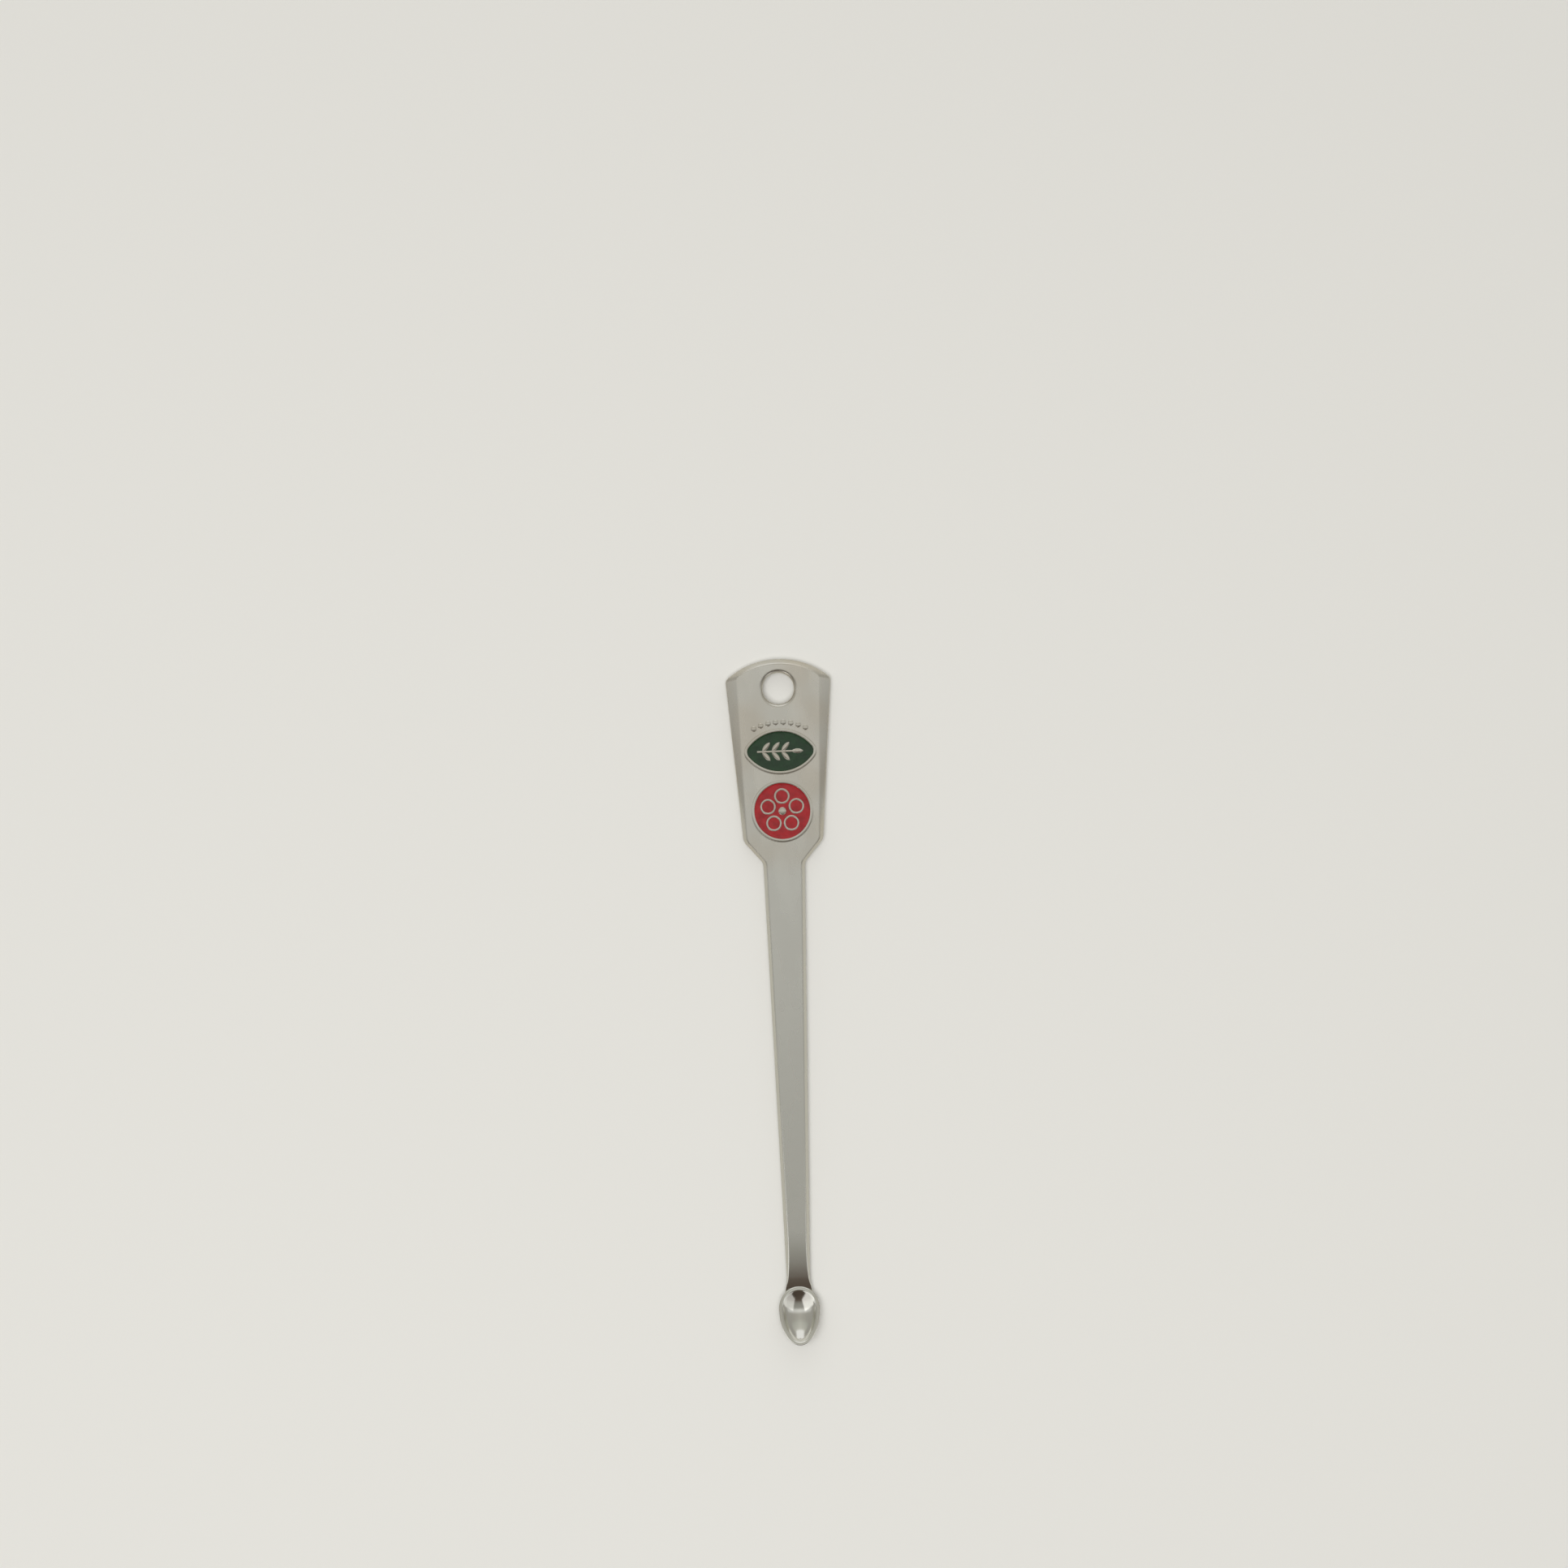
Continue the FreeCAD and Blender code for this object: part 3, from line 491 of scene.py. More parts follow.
def make_cells(shell, s):
    """Raised rims and sunk floors of both cells. Gives back the ring that each cuts out of the front."""
    cell = settings("cell")
    front, top = s.thickness, s.thickness + cell.relief
    wide, soft = cell.rim_width, RIM_SOFTNESS
    bit = 0.3 * soft
    profile = [(wide + 2.5 * soft, front), (wide + soft, front), (wide, front + bit), (wide, top - soft),
               (wide - bit, top - bit), (wide - soft, top), (soft, top), (bit, top - bit), (0.0, top - soft),
               (0.0, front - cell.depth)]
    cut_out = []
    for kind in ("oval", "disc"):
        rings = [shell.ring(cell_outline(cell, kind, offset, height)) for offset, height in profile]
        shell.strips(rings)
        shell.fill([rings[-1]])
        cut_out.append(rings[0])
    return cut_out


# The scoop

INNER_END = 0.92
OUTER_END = 0.94
RIM_STEPS = 6
EGG_BLEND = 0.4
BOWL_COUNT = 112
BOWL_STEPS = 24


def bowl_form(s, wall):
    """A bowl that lies wall inside the cup: half its width, its depth, and how much longer than wide it is
    towards the neck and towards the tip."""
    half = s.width / 2 - wall
    slope = math.cos(s.tilt)
    return half, s.depth - wall, (s.neck_reach / slope - wall) / half, (s.tip_reach / slope - wall) / half


def bowl_point(form, share, turn, shift=0.0):
    """A point of a bowl. Share runs from its bottom, at 0, to its rim, at 1. The bottom may be shifted."""
    reach, depth, neck_stretch, tip_stretch = form
    radius = (reach**2 + depth**2) / (2 * depth)
    full = math.asin(reach / radius)
    out = radius * math.sin(full * share)
    blend = min(max(0.5 - math.cos(turn) / EGG_BLEND / 2, 0.0), 1.0)
    stretch = neck_stretch + (tip_stretch - neck_stretch) * blend**2 * (3 - 2 * blend)
    return Vector((out * math.sin(turn), out * math.cos(turn) * stretch - shift * (1 - share**2),
                   radius * (1 - math.cos(full * share)) - depth))


def bowl_turns():
    """The angles round the bowl, from its end at the neck."""
    return [2 * math.pi * step / BOWL_COUNT for step in range(BOWL_COUNT)]


def close_bowl(shell, ring, bottom):
    """Join a ring to the one point at its middle."""
    shell.faces.extend((ring[i - 1], ring[i], bottom) for i in range(len(ring)))


def make_plug(shell):
    """What the neck's end is cut off with: a bowl within the cup's wall, with a wall up from its rim."""
    s = settings("scoop")
    form, place, turns = bowl_form(s, s.wall * 0.5), scoop_placement(s), bowl_turns()
    rings = [[bowl_point(form, step / BOWL_STEPS, turn) for turn in turns] for step in range(1, BOWL_STEPS + 1)]
    rings.append([point + Vector((0, 0, s.depth)) for point in rings[-1]])
    numbers = [shell.ring(place @ point for point in ring) for ring in rings]
    shell.strips(numbers)
    close_bowl(shell, numbers[0], shell.ring([place @ bowl_point(form, 0.0, 0.0)])[0])
    shell.faces.append(tuple(numbers[-1]))


def make_scoop(shell):
    """The cup's shell: from the bottom of the bowl up its inside, over the rim and down its back."""
    s = settings("scoop")
    inside, outside = bowl_form(s, s.wall), bowl_form(s, 0.0)
    place, columns = scoop_placement(s), []
    for turn in bowl_turns():
        within = [bowl_point(inside, INNER_END * step / BOWL_STEPS, turn, s.bowl_shift)
                  for step in range(1, BOWL_STEPS + 1)]
        behind = [bowl_point(outside, OUTER_END * step / BOWL_STEPS, turn) for step in range(BOWL_STEPS, 0, -1)]
        inner_edge, outer_edge = bowl_point(inside, 1.0, turn), bowl_point(outside, 1.0, turn)
        inner_flat = inner_edge.lerp(outer_edge, s.lip_round / s.wall)
        outer_flat = outer_edge.lerp(inner_edge, s.rim_round / s.wall)
        columns.append(within[:-1] + curve(within[-1], inner_edge, inner_flat, RIM_STEPS)
                       + curve(outer_flat, outer_edge, behind[0], RIM_STEPS) + behind[1:])
    numbers = [shell.ring(place @ point for point in ring) for ring in zip(*columns)]
    shell.strips(numbers)
    for ring, form, shift in ((numbers[0], inside, s.bowl_shift), (numbers[-1], outside, 0.0)):
        close_bowl(shell, ring, shell.ring([place @ bowl_point(form, 0.0, 0.0, shift)])[0])


def scoop_placement(s):
    """Tilt the cup, and stand its heel on the table."""
    half = s.width / 2
    radius = (half**2 + s.depth**2) / (2 * s.depth)
    stretch = s.neck_reach / math.cos(s.tilt) / half
    heel = math.atan(stretch * math.tan(s.tilt))
    fall = (s.depth - radius * (1 - math.cos(heel))) * math.cos(s.tilt)
    height = fall + stretch * radius * math.sin(heel) * math.sin(s.tilt)
    return Matrix.Translation((0.0, sharp_tip() + s.tip_reach, height)) @ Matrix.Rotation(-s.tilt, 4, "X")


# Raised lines and enamel

PETAL_STEPS = 48
DOME_STEPS = 32
DOME_RINGS = 6
LEAF_STEPS = 18
LEAF_COLUMNS = (-1.0, -0.97, -0.85, -0.6, -0.3, 0.0, 0.3, 0.6, 0.85, 0.97, 1.0)
LEAF_FALL = 0.06 * MM
LEAF_ROUNDNESS = 2.5
BEAD_FOOT = 0.05 * MM
BEAD_RISE = 0.09 * MM
EYE_RISE = 0.1 * MM
SAG = ((0.0, 0.0), (0.04, 0.45), (0.1, 0.75), (0.2, 0.92), (0.34, 0.98), (0.5, 1.0))


def line_levels():
    """The floor of the cells, and the tops of the lines and of the enamel."""
    bar, cell = settings("bar"), settings("cell")
    top = bar.thickness + cell.relief
    return bar.thickness - cell.depth, top, top - cell.enamel_drop


def rounded_top(outer, inner, foot, top, soft):
    """The section of a raised line from its outer foot over its rounded top to its inner foot."""
    points = [(outer, foot)]
    points += [tuple(p) for p in eased((outer, foot), (outer, top), (inner, top), soft, EDGE_STEPS)]
    points += [tuple(p) for p in eased((outer, top), (inner, top), (inner, foot), soft, EDGE_STEPS)]
    return points + [(inner, foot)]


def make_ring_petal(shell):
    """One petal of the blossom, a raised ring round the origin."""
    s = settings("line")
    foot, top, _ = line_levels()
    outer = s.petal_diameter / 2
    section = rounded_top(outer, outer - s.petal_line, foot, top, s.petal_line * 0.4)
    rings = [shell.ring(circle(Vector((0.0, 0.0)), radius, height, PETAL_STEPS)) for radius, height in section]
    shell.strips(rings + rings[:1])


def make_dome(shell, radius, foot, top, rise):
    """A round stud with a domed top, at the origin."""
    middle = Vector((0.0, 0.0))
    rings = [shell.ring(circle(middle, radius, foot, DOME_STEPS))]
    for step in range(DOME_RINGS):
        turn = math.pi / 2 * step / DOME_RINGS
        height = top - rise + rise * math.sin(turn)
        rings.append(shell.ring(circle(middle, radius * math.cos(turn), height, DOME_STEPS)))
    shell.strips(rings)
    shell.faces.append(tuple(rings[0]))
    close_bowl(shell, rings[-1], shell.ring([(0.0, 0.0, top)])[0])


def make_leaf_pair(shell):
    """A leaf to each side of the twig."""
    for turn in (1, -1):
        make_leaf(shell, settings("line").leaf_angle * turn)


def make_leaf(shell, turn):
    """A ridged leaf between two arcs, out from the origin."""
    s = settings("line")
    foot, top, _ = line_levels()
    half_length, half = s.leaf_length / 2, s.leaf_width / 2
    radius = (half_length**2 + half**2) / (2 * half)
    turned = Matrix.Rotation(turn, 4, "Z")
    rows = []
    for step in range(1, LEAF_STEPS):
        along = s.leaf_length * step / LEAF_STEPS
        wide = math.sqrt(radius**2 - (along - half_length) ** 2) - (radius - half)
        row = [turned @ Vector((along, -wide, foot))]
        row += [turned @ Vector((along, wide * x, top - LEAF_FALL * abs(x) ** LEAF_ROUNDNESS))
                for x in LEAF_COLUMNS]
        row.append(turned @ Vector((along, wide, foot)))
        rows.append(shell.ring(row))
    shell.strips(rows, closed=False)
    for row, along in ((rows[0], 0.0), (rows[-1], s.leaf_length)):
        point = shell.ring([turned @ Vector((along, 0.0, top - LEAF_FALL))])[0]
        low = shell.ring([turned @ Vector((along, 0.0, foot))])[0]
        shell.faces.extend((row[i], row[i + 1], point) for i in range(1, len(row) - 2))
        shell.faces += [(row[0], row[1], point, low), (row[-1], row[-2], point, low), (row[0], row[-1], low)]
    shell.strip([row[0] for row in rows], [row[-1] for row in rows], closed=False)


def make_twig(shell):
    """The twig, from its foot to under its last leaf."""
    s = settings("line")
    foot, top, _ = line_levels()
    half = s.twig_line / 2
    start, _, end_leaf = twig_places(s)
    section = rounded_top(half, -half, foot, top, half * 0.7)
    ends = (start, end_leaf + s.leaf_length / 4)
    rings = [shell.ring((x, across, height) for across, height in section) for x in ends]
    shell.strips(rings)
    shell.faces += [tuple(rings[0]), tuple(rings[1])]


def twig_places(s):
    """Where the twig starts, where its first leaves stand and where its last leaf stands."""
    start = -(s.leaf_pitch * (s.leaf_pairs + 0.5) + s.leaf_length) / 2
    return start, start + s.leaf_pitch / 2, start + s.leaf_pitch * (s.leaf_pairs + 0.5)


def make_fill(kind):
    """Enamel that fills a cell and sags a little between its edges."""

    def make(shell):
        cell = settings("cell")
        foot, _, level = line_levels()
        rings = [shell.ring(cell_outline(cell, kind, 0.0, foot))]
        for inset, sag in SAG:
            rings.append(shell.ring(cell_outline(cell, kind, -inset * MM, level - cell.meniscus * sag)))
        shell.strips(rings)
        shell.fill([rings[0]])
        shell.fill([rings[-1]])

    return make


# Node trees


def add_node(tree, kind, links=None, **values):
    """Add a node with its properties. Each input named in links takes another node's output or a value."""
    node = tree.nodes.new(kind)
    for name, value in values.items():
        setattr(node, name, value)
    for socket, source in (links or {}).items():
        if isinstance(source, bpy.types.NodeSocket):
            tree.links.new(source, node.inputs[socket])
        else:
            node.inputs[socket].default_value = source
    return node


def add_math(tree, operation, *sources):
    """A math node's output."""
    return add_node(tree, "ShaderNodeMath", dict(enumerate(sources)), operation=operation).outputs[0]


def add_ramp(tree, value, stops):
    """A ramp's output: stops are pairs of place and colour, or place and grey."""
    node = add_node(tree, "ShaderNodeValToRGB", {"Fac": value})
    elements = node.color_ramp.elements
    for number, (place, shade) in enumerate(stops):
        element = elements[number] if number < 2 else elements.new(place)
        element.position = place
        element.color = shade if isinstance(shade, tuple) else (shade, shade, shade, 1.0)
    return node.outputs["Color"]


def add_range(tree, value, low, high, to_low=0.0, to_high=1.0):
    """A value's place between low and high, eased, as a value between the other two."""
    links = {"Value": value, "From Min": low, "From Max": high, "To Min": to_low, "To Max": to_high}
    return add_node(tree, "ShaderNodeMapRange", links, interpolation_type="SMOOTHSTEP").outputs["Result"]


def add_noise(tree, position, size, detail, stretch=(1.0, 1.0, 1.0)):
    """Noise with features about size across, in metres, stretched along each axis."""
    scale = tuple(1.0 / (size * s) for s in stretch)
    scaled = add_node(tree, "ShaderNodeVectorMath", {0: position, 1: scale}, operation="MULTIPLY").outputs[0]
    return add_node(tree, "ShaderNodeTexNoise", {"Vector": scaled, "Scale": 1.0, "Detail": detail}).outputs["Fac"]


def mixed(tree, factor, one, other, blend="MIX"):
    """Two colours mixed: the result's output."""
    node = add_node(tree, "ShaderNodeMix", {"Factor": factor, 6: one, 7: other}, data_type="RGBA", blend_type=blend)
    return node.outputs[2]


def new_material(name):
    """A material with an emptied tree, its shader and its output."""
    material = bpy.data.materials.new(name)
    material.use_nodes = True
    tree = material.node_tree
    tree.nodes.clear()
    shader = add_node(tree, "ShaderNodeBsdfPrincipled")
    add_node(tree, "ShaderNodeOutputMaterial", {"Surface": shader.outputs["BSDF"]})
    return material, tree, shader


def object_place(tree):
    """The place in the object's own frame, in metres."""
    return add_node(tree, "ShaderNodeTexCoord").outputs["Object"]


def add_bump(tree, height, distance, strength, normal=None):
    """A bump node's output, over another bump where normal names one."""
    links = {"Height": height, "Distance": distance, "Strength": strength}
    if normal is not None:
        links["Normal"] = normal
    return add_node(tree, "ShaderNodeBump", links).outputs["Normal"]


# Materials

POLISH_FROM, POLISH_TO = -29 * MM, -36 * MM
# Along the bar, where the painted reflection tint on the tab fades in.
TINT_FROM, TINT_TO = 15 * MM, 19 * MM


def silver_plating():
    """Silver-coloured plating on a struck copper alloy: satin on the tab and stem, polished in the scoop,
    with a warmer, darker reflection tint painted in patches over the tab."""
    finish = settings("finish")
    material, tree, shader = new_material("silver_plating")
    place = object_place(tree)
    along = add_node(tree, "ShaderNodeSeparateXYZ", {0: place}).outputs["Y"]
    in_scoop = add_range(tree, along, POLISH_FROM, POLISH_TO)
    on_tab = add_range(tree, along, TINT_FROM, TINT_TO)
    patches = add_noise(tree, place, 5.0 * MM, 1.0)
    # Painted reflection: the tab's warmer, darker tint from the room, laid into the base colour in patches.
    painted_reflection = add_math(tree, "MULTIPLY", on_tab, add_range(tree, patches, 0.3, 0.7, 0.15, 0.5))
    base = mixed(tree, painted_reflection, tuple(finish.silver), tuple(finish.reflection_tint))
    tree.links.new(base, shader.inputs["Base Color"])
    shader.inputs["Metallic"].default_value = 1.0
    cloudy = add_noise(tree, place, 2.2 * MM, 2.0, (1.0, 2.5, 1.0))
    satin = add_range(tree, cloudy, 0.3, 0.7, finish.satin - 0.02, finish.satin + 0.02)
    gloss = add_node(tree, "ShaderNodeMix", {"Factor": in_scoop, 2: satin, 3: finish.polished})
    tree.links.new(gloss.outputs[0], shader.inputs["Roughness"])
    scratches = add_bump(tree, add_noise(tree, place, 0.06 * MM, 3.0, (1.0, 30.0, 1.0)), 0.0012 * MM, 0.6)
    waves = add_bump(tree, add_noise(tree, place, 1.6 * MM, 2.0), 0.006 * MM, 0.5, scratches)
    tree.links.new(waves, shader.inputs["Normal"])
    return material


def enamel(name, shade, cloud_shade):
    """Glossy enamel, lightly uneven, with a few clouds in its colour."""
    material, tree, shader = new_material(name)
    place = object_place(tree)
    clouds = add_noise(tree, place, 0.9 * MM, 3.0)
    base = mixed(tree, add_range(tree, clouds, 0.35, 0.7), tuple(shade), tuple(cloud_shade))
    tree.links.new(base, shader.inputs["Base Color"])
    shader.inputs["Roughness"].default_value = 0.12
    ripples = add_noise(tree, place, 0.8 * MM, 2.0)
    tree.links.new(add_bump(tree, ripples, 0.03 * MM, 0.7), shader.inputs["Normal"])
    return material


def scaled_shade(shade, share):
    """A colour made darker or lighter."""
    return tuple(part * share for part in shade[:3]) + (1.0,)


def table_paper():
    """Smooth pale card, greyer where the metal mirrors it."""
    finish = settings("finish")
    material, tree, shader = new_material("table_card")
    mirrored = add_node(tree, "ShaderNodeLightPath").outputs["Is Glossy Ray"]
    shade = mixed(tree, mirrored, tuple(finish.table), tuple(finish.mirrored))
    tree.links.new(shade, shader.inputs["Base Color"])
    shader.inputs["Roughness"].default_value = 0.9
    shader.inputs["Specular IOR Level"].default_value = 0.15
    return material


# Geometry Nodes


def piece_tree(name, extra):
    """A node group that takes a piece, a material and more numbers, and gives geometry."""
    tree = bpy.data.node_groups.new(name, "GeometryNodeTree")
    tree.is_modifier = True
    tree.interface.new_socket("Geometry", in_out="INPUT", socket_type="NodeSocketGeometry")
    tree.interface.new_socket("Piece", in_out="INPUT", socket_type="NodeSocketObject")
    tree.interface.new_socket("Material", in_out="INPUT", socket_type="NodeSocketMaterial")
    for label, kind in extra:
        tree.interface.new_socket(label, in_out="INPUT", socket_type=f"NodeSocket{kind}")
    tree.interface.new_socket("Geometry", in_out="OUTPUT", socket_type="NodeSocketGeometry")
    return tree, add_node(tree, "NodeGroupInput").outputs


def end_tree(tree, given, points, place, rotation=None):
    """Set the piece on the points, move all to its place and make it real."""
    piece = add_node(tree, "GeometryNodeObjectInfo", {"Object": given["Piece"]}).outputs["Geometry"]
    links = {"Points": points, "Instance": piece}
    if rotation is not None:
        links["Rotation"] = rotation
    on_points = add_node(tree, "GeometryNodeInstanceOnPoints", links).outputs["Instances"]
    moved = add_node(tree, "GeometryNodeTransform", {"Geometry": on_points, "Translation": place}).outputs[0]
    real = add_node(tree, "GeometryNodeRealizeInstances", {"Geometry": moved}).outputs["Geometry"]
    covered = add_node(tree, "GeometryNodeSetMaterial", {"Geometry": real, "Material": given["Material"]})
    add_node(tree, "NodeGroupOutput", {"Geometry": covered.outputs["Geometry"]})


def round_tree():
    """Pieces on a circle or an arc of one, evenly spaced from its first angle on."""
    tree, given = piece_tree("pieces_on_an_arc", (("Count", "Int"), ("Radius", "Float"), ("First", "Float"),
                                                  ("Sweep", "Float"), ("Place", "Vector")))
    arc = add_node(tree, "GeometryNodeCurveArc", {"Resolution": given["Count"], "Radius": given["Radius"],
                                                  "Start Angle": given["First"], "Sweep Angle": given["Sweep"]})
    end_tree(tree, given, arc.outputs["Curve"], given["Place"])
    return tree


def line_tree():
    """Pieces on a straight line, evenly spaced."""
    tree, given = piece_tree("pieces_on_a_line", (("Count", "Int"), ("Pitch", "Float"), ("Place", "Vector")))
    step = add_node(tree, "ShaderNodeCombineXYZ", {"X": given["Pitch"]}).outputs[0]
    line = add_node(tree, "GeometryNodeMeshLine", {"Count": given["Count"], "Offset": step})
    end_tree(tree, given, line.outputs["Mesh"], given["Place"])
    return tree


def repeated(name, tree, piece, material, values):
    """A plain mesh object of what the tree makes of the piece, with the tree's inputs by name."""
    carrier = linked(name, bpy.data.meshes.new(f"{name}_start"))
    modifier = carrier.modifiers.new("Repeat", "NODES")
    modifier.node_group = tree
    inputs = {item.name: item.identifier for item in tree.interface.items_tree if item.in_out == "INPUT"}
    for label, value in {"Piece": piece, "Material": material, **values}.items():
        modifier[inputs[label]] = value
    mesh = evaluated_mesh(carrier)
    carrier.modifiers.clear()
    carrier.data = mesh
    smooth(mesh, RELIEF_SHARP)
    bpy.data.objects.remove(piece)
    return carrier


def evaluated_mesh(thing):
    """A plain mesh of the object as its modifiers leave it."""
    bpy.context.view_layer.update()
    graph = bpy.context.evaluated_depsgraph_get()
    return bpy.data.meshes.new_from_object(thing.evaluated_get(graph))


# Pieces


def built(name, make, material):
    """An object of the shell that a function makes."""
    shell = Shell()
    make(shell)
    return finished_object(name, shell, material)


def add_silver():
    """The bar with its rims and cells, its end cut off by the bowl and joined to the cup."""
    material = silver_plating()
    bar = built("silver_pick", make_bar, material)
    plug = built("bowl_plug", make_plug, material)
    cup = built("silver_scoop", make_scoop, material)
    for tool, operation in ((plug, "DIFFERENCE"), (cup, "UNION")):
        cut = bar.modifiers.new(tool.name, "BOOLEAN")
        cut.operation, cut.solver, cut.object = operation, "EXACT", tool
    mesh = evaluated_mesh(bar)
    bar.modifiers.clear()
    bar.data = mesh
    smooth(mesh, SHARP)
    for tool in (plug, cup):
        bpy.data.objects.remove(tool)
    return [bar]


def add_lines():
    """The blossom, the twig and the beads."""
    material = bpy.data.materials["silver_plating"]
    bar, cell, s = settings("bar"), settings("cell"), settings("line")
    on_arc, on_line = round_tree(), line_tree()
    foot, top, _ = line_levels()
    disc_y, oval_y = bar.top - cell.disc_from_top, bar.top - cell.oval_from_top
    turn = 2 * math.pi / s.petals
    petals = repeated("silver_petals", on_arc, built("ring_petal", make_ring_petal, material), material,
                      {"Count": s.petals, "Radius": s.petal_offset, "First": math.pi / 2,
                       "Sweep": turn * (s.petals - 1), "Place": (0.0, disc_y, 0.0)})
    bead_foot = bar.thickness - BEAD_FOOT
    bead = built("bead", lambda shell: make_dome(shell, s.bead_diameter / 2, bead_foot, top, BEAD_RISE), material)
    row_y = oval_y + cell.oval_width / 2 + s.bead_gap - s.bead_row_radius
    beads = repeated("silver_beads", on_arc, bead, material,
                     {"Count": s.beads, "Radius": s.bead_row_radius, "First": math.pi / 2 - s.bead_row_angle / 2,
                      "Sweep": s.bead_row_angle, "Place": (0.0, row_y, 0.0)})
    _, first, end_leaf = twig_places(s)
    leaves = repeated("silver_leaves", on_line, built("leaf_pair", make_leaf_pair, material), material,
                      {"Count": s.leaf_pairs, "Pitch": s.leaf_pitch, "Place": (first, oval_y, 0.0)})
    last = built("silver_end_leaf", lambda shell: make_leaf(shell, 0.0), material)
    twig = built("silver_twig", make_twig, material)
    eye = built("silver_eye", lambda shell: make_dome(shell, s.eye_diameter / 2, foot, top, EYE_RISE), material)
    for thing, place in ((last, (end_leaf, oval_y, 0.0)), (twig, (0.0, oval_y, 0.0)), (eye, (0.0, disc_y, 0.0))):
        thing.data.transform(Matrix.Translation(place))
    return [petals, beads, leaves, last, twig, eye]


def add_enamels():
    """The green and the red fill."""
    finish = settings("finish")
    green = enamel("green_enamel_glass", finish.green, scaled_shade(finish.green, 1.5))
    red = enamel("red_enamel_glass", finish.red, scaled_shade(finish.red, 0.72))
    return [built("green_fill", make_fill("oval"), green), built("red_fill", make_fill("disc"), red)]


# The table, the light and the camera

TABLE_HALF = 1.2

# The room's colours round the pick: from the scoop's end, at 0, over straight up, at 0.5, to the tab's end, at 1.
# The dark stretch shows in the neck and the bowl, the light one in the flat tab.
LENGTHWISE = ((0.0, linear("8d8780")), (0.1, linear("5e544c")), (0.2, linear("4e443c")), (0.283, linear("5c5148")),
              (0.298, linear("62574e")), (0.314, linear("78716b")), (0.33, linear("8d8982")), (0.363, linear("9b9a94")),
              (0.4, linear("a1a09a")), (0.45, linear("a5a59e")), (0.485, linear("dededb")), (0.53, linear("f1f1ef")),
              (0.61, linear("c0beb7")), (0.66, linear("bcbab3")), (0.72, linear("bcbab3")), (0.76, linear("c9cac2")),
              (0.93, linear("dcdad2")), (0.97, linear("a8a298")), (1.0, linear("857c71")))
# How bright the room is from its left side, at 0, to its right, at 1.
SIDEWAYS = ((0.0, 0.82), (0.13, 0.8), (0.3, 0.9), (0.5, 1.0), (0.7, 0.89), (0.87, 0.81), (1.0, 0.8))
FAR_WINDOW = (1.0, 1.0, 1.0, 1.0)
HORIZON = linear("bab8b2")
BACKDROP = linear("dddcd7")
# Each pair says where something starts in the room and where it is full, as parts of the direction.
WINDOW_NEAR_EDGE, WINDOW_FAR_EDGE, WINDOW_SIDES = (0.71, 0.77), (1.0, 0.99), (0.55, 0.3)
HORIZON_HEIGHT = (0.5, 0.3)
SCOOP_AT = (0.0, -0.038, 0.0)

LENS = 85.0
SENSOR = 36.0
FRAME_WIDTH = 194.2 * MM
LEAN = math.radians(-1.966)
LOOK_AT = (0.32 * MM, 26.99 * MM)


def add_table():
    """A level table top."""
    shell, half = Shell(), TABLE_HALF
    shell.faces.append(tuple(shell.ring([(-half, -half, 0), (half, -half, 0), (half, half, 0), (-half, half, 0)])))
    return finished_object("table", shell, table_paper())


def light_room():
    """A bright room: palest overhead, brown and darker towards the scoop's end, even and grey near the floor, with
    a window beyond the tab that shows in the scoop's tip. The camera itself sees a plain pale backdrop."""
    world = bpy.data.worlds.new("room")
    bpy.context.scene.world = world
    world.use_nodes = True
    tree = world.node_tree
    tree.nodes.clear()
    direction = add_node(tree, "ShaderNodeTexCoord").outputs["Generated"]
    across, along, up = add_node(tree, "ShaderNodeSeparateXYZ", {0: direction}).outputs
    lengthwise = add_ramp(tree, add_math(tree, "MULTIPLY_ADD", along, 0.5, 0.5), LENGTHWISE)
    sideways = add_ramp(tree, add_math(tree, "MULTIPLY_ADD", across, 0.5, 0.5), SIDEWAYS)
    lengthwise = mixed(tree, add_range(tree, up, *HORIZON_HEIGHT), lengthwise, HORIZON)
    room = mixed(tree, 1.0, lengthwise, sideways, "MULTIPLY")
    near_edge, far_edge = (add_range(tree, along, *edge) for edge in (WINDOW_NEAR_EDGE, WINDOW_FAR_EDGE))
    beyond = add_math(tree, "MULTIPLY", near_edge, far_edge)
    middle = add_range(tree, add_math(tree, "ABSOLUTE", across), *WINDOW_SIDES)
    room = mixed(tree, add_math(tree, "MULTIPLY", beyond, middle), room, FAR_WINDOW)
    room = mixed(tree, add_node(tree, "ShaderNodeLightPath").outputs["Is Camera Ray"], room, BACKDROP)
    sky = add_node(tree, "ShaderNodeBackground", {"Color": room, "Strength": 1.0})
    add_node(tree, "ShaderNodeOutputWorld", {"Surface": sky.outputs[0]})


def add_light(name, place, target, size, radiance, lights):
    """A soft light of a width and height, facing a point. For the metal, it shows only in what mirrors it. For the
    table, it falls only on what scatters light, the enamels too."""
    lamp = bpy.data.lights.new(name, "AREA")
    lamp.shape, lamp.size, lamp.size_y = "RECTANGLE", *size
    lamp.energy = radiance * math.pi * size[0] * size[1]
    thing = bpy.data.objects.new(name, lamp)
    thing.location = place
    thing.rotation_euler = (Vector(place) - Vector(target)).to_track_quat("Z", "Y").to_euler()
    thing.visible_camera = False
    thing.visible_glossy = lights == "metal"
    thing.visible_diffuse = lights == "table"
    bpy.context.scene.collection.objects.link(thing)


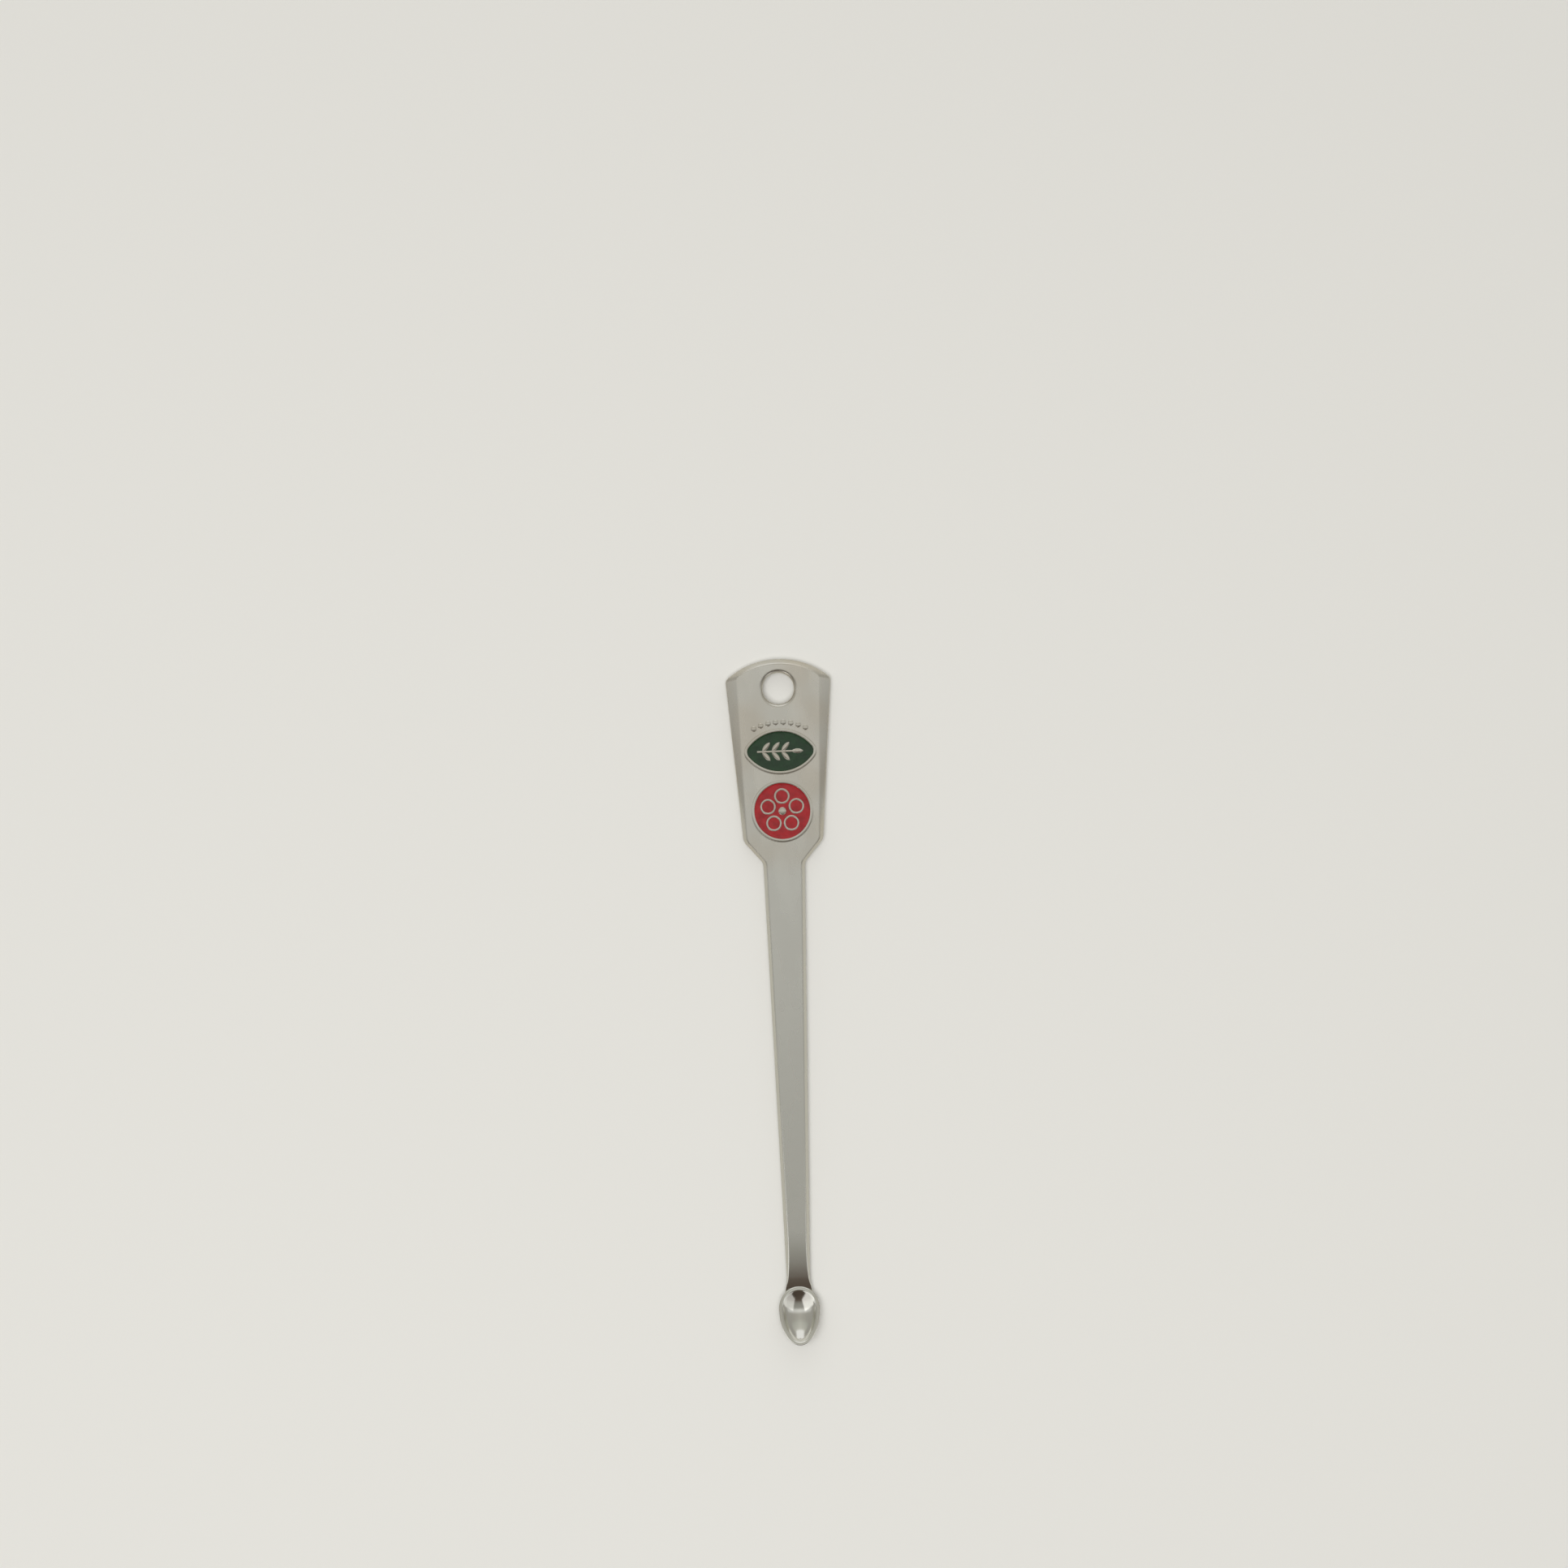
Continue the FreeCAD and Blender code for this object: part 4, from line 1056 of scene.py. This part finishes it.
def add_lights():
    """A soft lamp over the table, and two cards beside the scoop that show in its bowl."""
    add_light("lamp", place=(-0.1, -0.1, 0.8), target=(0.0, 0.0, 0.0), size=(0.6, 0.6), radiance=3.7, lights="table")
    add_light("left_card", place=(-0.064, -0.07, 0.066), target=SCOOP_AT, size=(0.064, 0.09), radiance=0.78,
              lights="metal")
    add_light("right_card", place=(0.068, -0.07, 0.058), target=SCOOP_AT, size=(0.06, 0.086), radiance=0.5,
              lights="metal")


def add_camera():
    """Straight above, as the photograph was taken."""
    lens = bpy.data.cameras.new("camera")
    lens.type, lens.lens, lens.sensor_width = "PERSP", LENS, SENSOR
    lens.clip_start, lens.clip_end = 0.01, 10.0
    camera = bpy.data.objects.new("camera", lens)
    camera.location = (*LOOK_AT, FRAME_WIDTH * LENS / SENSOR + settings("bar").thickness)
    camera.rotation_euler = (0.0, 0.0, LEAN)
    bpy.context.scene.collection.objects.link(camera)
    bpy.context.scene.camera = camera


# Operators


def dress(things, node=None):
    """Tie each piece to the root body, and hide the node that it stands for, where one is named."""
    for thing in things:
        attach(thing, "root")
        if node:
            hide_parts(node)


class AddSilver(bpy.types.Operator):
    """Add the struck silver-coloured bar with its scoop"""

    bl_idname = "ear_pick.silver"
    bl_label = "Add bar and scoop"

    def execute(self, context):
        dress(add_silver(), "pick_body")
        return {"FINISHED"}


class AddLines(bpy.types.Operator):
    """Add the raised blossom, twig and beads"""

    bl_idname = "ear_pick.lines"
    bl_label = "Add raised lines"

    def execute(self, context):
        dress(add_lines())
        return {"FINISHED"}


class AddEnamels(bpy.types.Operator):
    """Add the green and the red enamel"""

    bl_idname = "ear_pick.enamels"
    bl_label = "Add enamels"

    def execute(self, context):
        green, red = add_enamels()
        dress([green], "green_enamel")
        dress([red], "red_enamel")
        return {"FINISHED"}


class AddStage(bpy.types.Operator):
    """Add the table, the light and the camera"""

    bl_idname = "ear_pick.stage"
    bl_label = "Add table, light and camera"

    def execute(self, context):
        add_table()
        light_room()
        add_lights()
        add_camera()
        context.scene.view_settings.view_transform = "Standard"
        return {"FINISHED"}


class EarPickPanel(bpy.types.Panel):
    """The ear pick's pieces and sizes"""

    bl_idname = "VIEW3D_PT_ear_pick"
    bl_label = "Ear pick"
    bl_space_type = "VIEW_3D"
    bl_region_type = "UI"
    bl_category = "Ear pick"

    def draw(self, context):
        for operator in OPERATORS:
            self.layout.operator(operator.bl_idname)
        for group, sizes in GROUPS.items():
            box = self.layout.box()
            box.label(text=sizes.__doc__)
            for name in sizes.__annotations__:
                box.prop(settings(group), name)


OPERATORS = (AddSilver, AddLines, AddEnamels, AddStage)
CLASSES = (*GROUPS.values(), *OPERATORS, EarPickPanel)


def register():
    """Add the classes to Blender, and the sizes and finishes to its scenes."""
    for cls in CLASSES:
        bpy.utils.register_class(cls)
    for group, sizes in GROUPS.items():
        setattr(bpy.types.Scene, f"ear_pick_{group}", PointerProperty(type=sizes))


def unregister():
    """Take them out again."""
    for group in GROUPS:
        delattr(bpy.types.Scene, f"ear_pick_{group}")
    for cls in reversed(CLASSES):
        bpy.utils.unregister_class(cls)


def main():
    """Build every piece and its stage."""
    register()
    bpy.ops.ear_pick.silver()
    bpy.ops.ear_pick.lines()
    bpy.ops.ear_pick.enamels()
    bpy.ops.ear_pick.stage()


if __name__ == "__main__":
    main()
